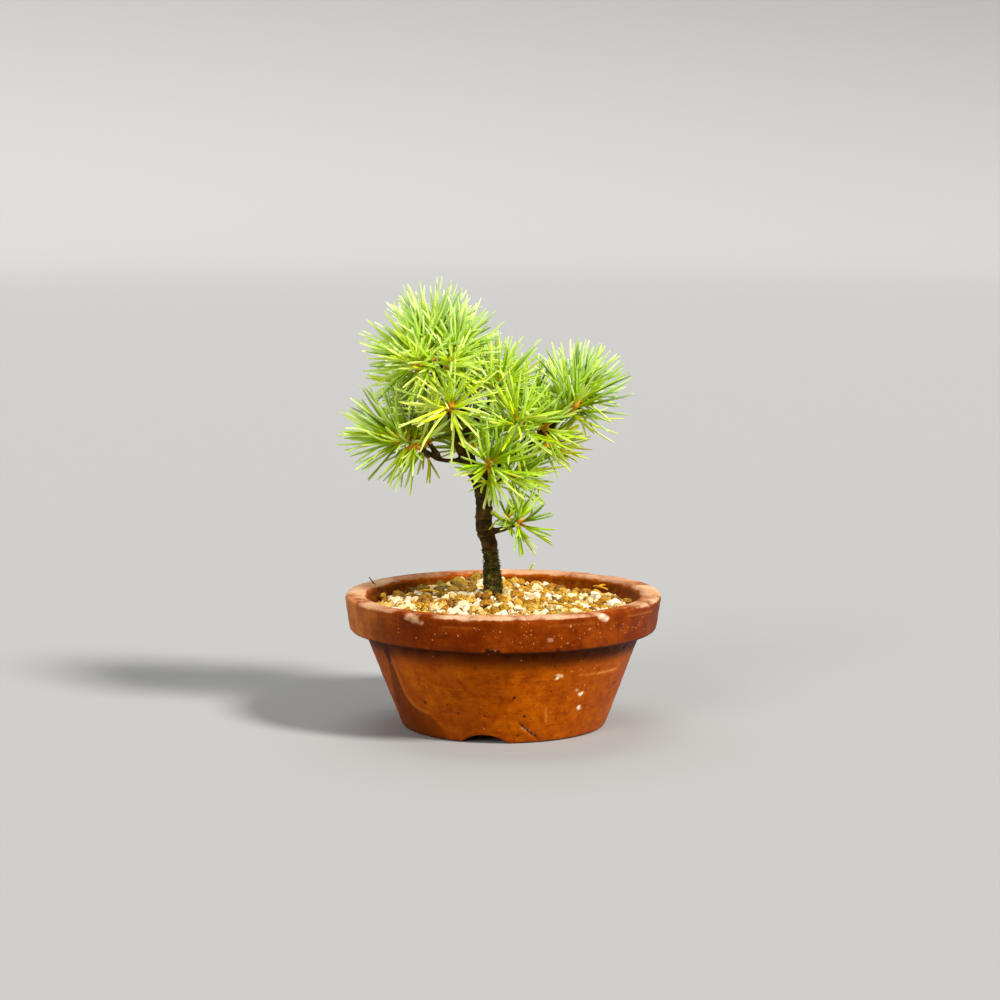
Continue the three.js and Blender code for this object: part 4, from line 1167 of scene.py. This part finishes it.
def bend_clear(lines, owner):
    """Bends lines clear of wood: where one comes too close to another shoot or the trunk, it swings
    away from it, evenly from its root to that place, and keeps that shift beyond it."""
    at = trunk.at(np.linspace(0, 1, 26))
    starts, ends, thick = [at[:-1]], [at[1:]], [trunk_radius(at[:-1, 2])]
    for name, shoot in ALL_SHOOTS.items():
        if name != owner:
            at = shoot["way"].at(np.linspace(0, 1, 7))
            starts.append(at[:-1])
            ends.append(at[1:])
            thick.append(np.full(len(at) - 1, shoot["start"]))
    a, b, thick = np.vstack(starts), np.vstack(ends), np.concatenate(thick) + NEEDLE_CLEARANCE
    for _ in range(3):
        t = ((lines[:, :, None] - a) * (b - a)).sum(-1) / ((b - a) ** 2).sum(-1)
        away = lines[:, :, None] - (a + np.clip(t, 0, 1)[..., None] * (b - a))
        gap = np.linalg.norm(away, axis=-1)
        short = np.maximum(thick - gap, 0)
        short[:, :2] = 0
        pick = short.argmax(axis=-1)[..., None]
        depth = np.take_along_axis(short, pick, -1)[..., 0]
        push = unit(np.take_along_axis(away, pick[..., None], 2)[:, :, 0]) * depth[..., None]
        worst = depth.argmax(axis=1)
        move = push[np.arange(len(lines)), worst]
        ramp = np.minimum(1, np.arange(lines.shape[1])[None] / np.maximum(worst, 1)[:, None])
        lines = lines + move[:, None] * ramp[..., None]
    return lines


def needle_lines(shoot, owner, root, way, rng):
    """Middle lines of five needles to a bundle, from root to tip, and the way that each one's rounded
    side faces. A needle leaves along its bundle, turns out by its own spread, and curls a little."""
    count = len(root)
    side, other = square_to(way, rng)
    turn = turns(IN_BUNDLE) + rng.uniform(0, 2 * np.pi, count)[:, None]
    turn = turn + rng.normal(0, 0.2, (count, IN_BUNDLE))
    facing = swung(side[:, None], other[:, None], turn)
    spread = rng.uniform(0.10, 0.42, (count, IN_BUNDLE, 1)) * shoot["spread"]
    length = shoot["length"] * rng.uniform(0.84, 1.08, (count, IN_BUNDLE, 1))
    length = length * (1 + way @ np.array(shoot["reach"]))[:, None, None]
    heading = unit(way[:, None] * np.cos(spread) + facing * np.sin(spread))
    curl = rng.normal(0, 1, (count, IN_BUNDLE, 3)) * shoot["curl"] + [0, 0, shoot["rise"]]
    curl -= heading * (curl * heading).sum(-1, keepdims=True)
    s = np.append(NEEDLE_ROWS, 1.0)[:, None]
    bent = 0.12 * (1 - np.exp(-s / 0.12))
    straight = heading[:, :, None] * s + (way[:, None] - heading)[:, :, None] * bent
    lines = root[:, None, None] + length[:, :, None] * (straight + curl[:, :, None] * s**2)
    lines = bend_clear(lines.reshape(-1, len(s), 3), owner)
    # A needle that would leave the part's box is shortened to end inside it.
    low, high = (np.array(corner) / MM for corner in cad_box)
    low, high = low - BOX_ALLOWANCE, high + BOX_ALLOWANCE
    room = np.where(lines[:, -1] > lines[:, 0], high - lines[:, 0], lines[:, 0] - low)
    fit = np.minimum(1, (room / np.maximum(np.abs(lines[:, -1] - lines[:, 0]), 1e-6)).min(-1))
    lines = lines[:, :1] + (lines - lines[:, :1]) * fit[:, None, None]
    return lines, facing.reshape(-1, 3)


def needle_mesh(lines, facing, rng):
    """Sweeps a fifth of a round rod along each line: a keel, two edges and a rounded back, widest at
    mid-length and drawn in to a blunt tip, with u round it from the keel and v from root to tip."""
    radius = NEEDLE_WIDTH / 1.18 * rng.uniform(0.86, 1.1, len(lines))
    section = np.array([(-0.55, 0), (0.26, -0.59), (0.45, 0), (0.26, 0.59)])
    taper = np.interp(NEEDLE_ROWS, [0, 0.1, 0.5, 0.84, 0.975], [0.72, 0.9, 1.0, 0.88, 0.52])
    ahead = unit(np.gradient(lines, axis=1)[:, :-1])
    out = unit(facing[:, None] - ahead * (facing[:, None] * ahead).sum(-1, keepdims=True))
    side = np.cross(ahead, out)
    size = radius[:, None, None, None] * taper[:, None, None]
    grid = lines[:, :-1, None] + size * (
        out[:, :, None] * section[:, :1] + side[:, :, None] * section[:, 1:])
    rows = len(NEEDLE_ROWS)
    points = np.concatenate([grid.reshape(len(lines), -1, 3), lines[:, -1:]], axis=1)
    quads = sheet_faces(rows, 4)
    ring = np.arange(4)
    tip = np.stack([(rows - 1) * 4 + ring, (rows - 1) * 4 + (ring + 1) % 4, np.full(4, rows * 4)], axis=1)
    foot = np.array([[3, 2, 1, 0]])
    quad = np.arange(len(quads))[:, None]
    quad_u = np.array([0, 1, 1, 0]) / 4 + quad % 4 / 4
    quad_v = NEEDLE_ROWS[quad // 4 + [0, 0, 1, 1]]
    tip_u = (ring[:, None] + [0, 1, 0.5]) / 4
    tip_v = np.tile([NEEDLE_ROWS[-1], NEEDLE_ROWS[-1], 1.0], (4, 1))
    quad_uv = np.concatenate([np.stack([quad_u, quad_v], -1), np.full((1, 4, 2), 0.01)])
    tip_uv = np.stack([tip_u, tip_v], axis=-1)
    faces = repeated(rows * 4 + 1, [np.vstack([quads, foot]), tip], len(lines))
    uv = np.concatenate([np.tile(part.reshape(-1, 2), (len(lines), 1)) for part in (quad_uv, tip_uv)])
    return points.reshape(-1, 3), faces, uv, rows * 4 + 1


def sheath_parts(root, way, rng):
    """The papery sheath of each bundle: a short six-sided tube from the stem, opening a little."""
    rows = np.array([-0.35, 0.3, 1.0])
    widths = np.array([0.4, 0.48, 0.55])
    side, other = square_to(way, rng)
    length = SHEATH_LENGTH * rng.uniform(0.75, 1.2, (len(root), 1, 1, 1))
    spokes = swung(side[:, None, None], other[:, None, None], turns(6))
    ragged = rng.normal(0, 0.12, (len(root), 3, 6, 1)) * rows[:, None, None].clip(0)
    grid = root[:, None, None] + way[:, None, None] * (rows[:, None, None] + ragged) * length
    grid = grid + spokes * widths[:, None, None]
    ends = np.stack([root - way * 0.4, root + way * SHEATH_LENGTH * 0.8], axis=1)
    points = np.concatenate([grid.reshape(len(root), -1, 3), ends], axis=1)
    _, blocks = capped_grid(np.zeros((3, 6, 3)), [0, 0, 0], [0, 0, 0])
    return points.reshape(-1, 3), repeated(SHEATH_POINTS, blocks, len(root))


def bud_part(shoot):
    """The leafy stem and its bud on one route: a slim stem that swells to an egg-shaped bud, whose
    scales overlap in a spiral: each adds a saw-tooth to the radius."""
    length = shoot["way"].length
    share = np.linspace(shoot["leafy_from"] - 0.5 / length, 1, 34)
    before_tip = (1 - share) * length
    stem = STEM_RADIUS + 0.25 * np.exp(-((before_tip - 3.0) / 1.5) ** 2)
    bud = 1.3 * np.sqrt(np.clip(before_tip / 1.9, 0, 1))
    bud = bud * np.exp(-((np.maximum(before_tip - 1.6, 0)) / 2) ** 2)
    radii = np.where(before_tip < 2.4, np.maximum(bud, 0.12), stem)[:, None]
    saw = (before_tip[:, None] * 1.1 + turns(12) * 3 / (2 * np.pi)) % 1.0
    radii = radii * (1 + 0.22 * (0.5 - saw)) * shoot["plump"]
    return tube(shoot["way"], share, radii, 12, 0.6)


def make_shoots(needle, scales):
    """Every shoot's needles as one piece, and all stems, buds and sheaths together as another."""
    parts, tones = [], []
    for number, (name, shoot) in enumerate(ALL_SHOOTS.items()):
        rng = np.random.default_rng(700 + number)
        root, way = bundle_ways(shoot, rng)
        lines, facing = needle_lines(shoot, name, root, way, rng)
        points, faces, uv, each = needle_mesh(lines, facing, rng)
        tone = rng.normal(shoot["tone"], 0.24, len(lines))
        tone = np.clip(tone + np.repeat(rng.normal(0, 0.12, len(root)), IN_BUNDLE), 0, 1)
        dry = np.clip(rng.normal(0.0, 0.10, len(lines)) + shoot["dry"] * rng.random(len(lines)), 0, 0.9)
        pale = np.clip(shoot["pale"] + rng.normal(0.0, 0.2, len(lines)), 0, 1)
        values = dict(tone=np.repeat(tone, each), dry=np.repeat(dry, each), pale=np.repeat(pale, each))
        replaced = [f"needles_{name}"] if name in SHOOTS else []
        new_piece(f"pine_needles_{name}", points, faces, needle, replaced,
                  smooth=False, values=values, uv=uv)
        parts.append(bud_part(shoot))
        tones.append(np.full(len(parts[-1][0]), 0.42 + rng.normal(0, 0.08)))
        parts.append(sheath_parts(root, way, rng))
        tones.append(np.repeat(rng.uniform(0.35, 0.8, len(root)), SHEATH_POINTS))
    points, faces = joined(parts)
    values = dict(tone=np.concatenate(tones))
    return new_piece("buds_and_sheaths", points, faces, scales, values=values)


# ---- Loose bits ----

# Dead needles and a sprout: both ends, how far the middle stands up, and how dry and pale they are.
LOOSE_NEEDLES = [
    ((29.2, 22.0, 40.4), (33.8, 17.0, 39.9), 0.3, 0.85, 0.0),
    ((30.8, 19.5, 40.5), (33.2, 22.6, 40.6), 0.2, 0.85, 0.0),
    ((-4.4, 0.9, 61.6), (-0.2, -1.4, 66.2), 0.4, 0.2, 1.0),
    ((9.0, 46.6, 41.7), (10.6, 46.0, 44.2), 0.4, 0.1, 1.0),
    ((-26.6, 8.0, 40.9), (-20.4, 3.6, 41.2), 0.5, 0.8, 0.0),
    ((14.0, -14.0, 40.6), (20.6, -19.0, 40.2), 0.4, 0.8, 0.2),
]
FALLEN_TWIG = [(-40.2, 15.6, 40.4), (-41.9, 16.6, 42.4), (-43.2, 17.2, 44.0)]


def make_loose_bits(needle, bark):
    """Needles arched between their ends by a parabola, and a thin tube for the twig on the lip."""
    starts, ends = (np.array([bit[k] for bit in LOOSE_NEEDLES], float) for k in (0, 1))
    arch, dry, pale = np.array([bit[2:] for bit in LOOSE_NEEDLES]).T
    t = np.append(NEEDLE_ROWS, 1.0)[:, None]
    lines = starts[:, None] + (ends - starts)[:, None] * t
    lines[..., 2] += arch[:, None] * 4 * t[:, 0] * (1 - t[:, 0])
    facing = np.tile([0.3, -0.4, 1.0], (len(lines), 1))
    points, faces, uv, each = needle_mesh(lines, facing, np.random.default_rng(61))
    values = dict(tone=np.full(len(points), 0.6), dry=np.repeat(dry, each), pale=np.repeat(pale, each))
    new_piece("loose_needles", points, faces, needle, smooth=False, values=values, uv=uv)
    points, faces = tube(Route(FALLEN_TWIG), np.linspace(0, 1, 8), np.linspace(0.28, 0.14, 8), 6, 0.5)
    values = dict(damp=np.zeros(len(points)), young=np.ones(len(points)), raised=np.zeros(len(points)))
    new_piece("fallen_twig", points, faces, bark, values=values)


# ---- Camera, floor and lights ----


def make_stage():
    """A pale floor that rises in a smooth bend into a round backdrop, seen from all sides: a profile
    turned about +Z. It stays lower than the lowest light, which would else fall behind it."""
    columns, flat, bend = 96, 4.0, 0.6  # metres: how far the floor is flat, and the bend's radius
    turn = np.linspace(0, np.pi / 2, 24)
    r = np.concatenate([np.linspace(0.02, flat, 20), flat + bend * np.sin(turn[1:]), [flat + bend]])
    z = np.concatenate([np.zeros(20), bend * (1 - np.cos(turn[1:])), [0.9]])
    grid = turned(r[:, None], turns(columns), z[:, None])
    mesh = bpy.data.meshes.new("floor")
    points = np.vstack([grid.reshape(-1, 3), [0, 0, 0]])
    ring = np.arange(columns)
    middle = np.stack([np.full(columns, len(points) - 1), ring, (ring + 1) % columns], axis=1)
    quads = sheet_faces(len(r), columns)[:, ::-1]
    mesh.from_pydata(points, [], [*quads.tolist(), *middle.tolist()])
    mesh.polygons.foreach_set("use_smooth", np.full(len(mesh.polygons), True))
    mesh.materials.append(new_material("matt_paper", Roughness=0.9, Base_Color="#a2a2a2")[0])
    new_object("floor", mesh)


def add_sun(name, towards, strength, spread, colour="#ffffff"):
    """Light from far off, coming from this direction, from a patch of so many degrees."""
    data = bpy.data.lights.new(name, "SUN")
    data.energy, data.color, data.angle = strength, linear(colour)[:3], math.radians(spread)
    x, y, z = towards
    new_object(name, data).rotation_euler = (math.atan2(math.hypot(x, y), z), 0, math.atan2(x, -y))


def make_camera():
    """The photograph's own view: solved from the rim, the lip, the band and the foot."""
    data = bpy.data.cameras.new("camera")
    data.lens, data.sensor_width = 93.6, 36.0
    camera = new_object("camera", data)
    camera.location = (-0.00102, -0.811, 0.171)
    camera.rotation_euler = (math.radians(90 - 7.02), 0, 0)
    bpy.context.scene.camera = camera


make_pot(fired_terracotta())
make_fines(dark_fines())
make_granules(fired_clay_granules(), broken_pumice())
bark, needle = pine_bark(), pine_needle()
make_wood(bark)
make_moss(damp_moss())
make_shoots(needle, bud_scales())
make_loose_bits(needle, bark)
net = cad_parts["drain_net"]
net.data.materials.clear()
net.data.materials.append(moulded_net_plastic())

make_camera()
make_stage()
add_sun("key", (0.83, -0.64, 0.88), 4.6, 12, "#fffcf6")
add_sun("fill", (-0.55, -0.85, 0.52), 1.3, 30)
add_sun("top", (-0.1, 0.35, 1.0), 1.1, 40)
world = bpy.data.worlds.new("studio")
bpy.context.scene.world = world
world.use_nodes = True
fill(world.node_tree.nodes["Background"], Color="#e6e4de", Strength=0.3)
bpy.context.scene.view_settings.view_transform = "Standard"
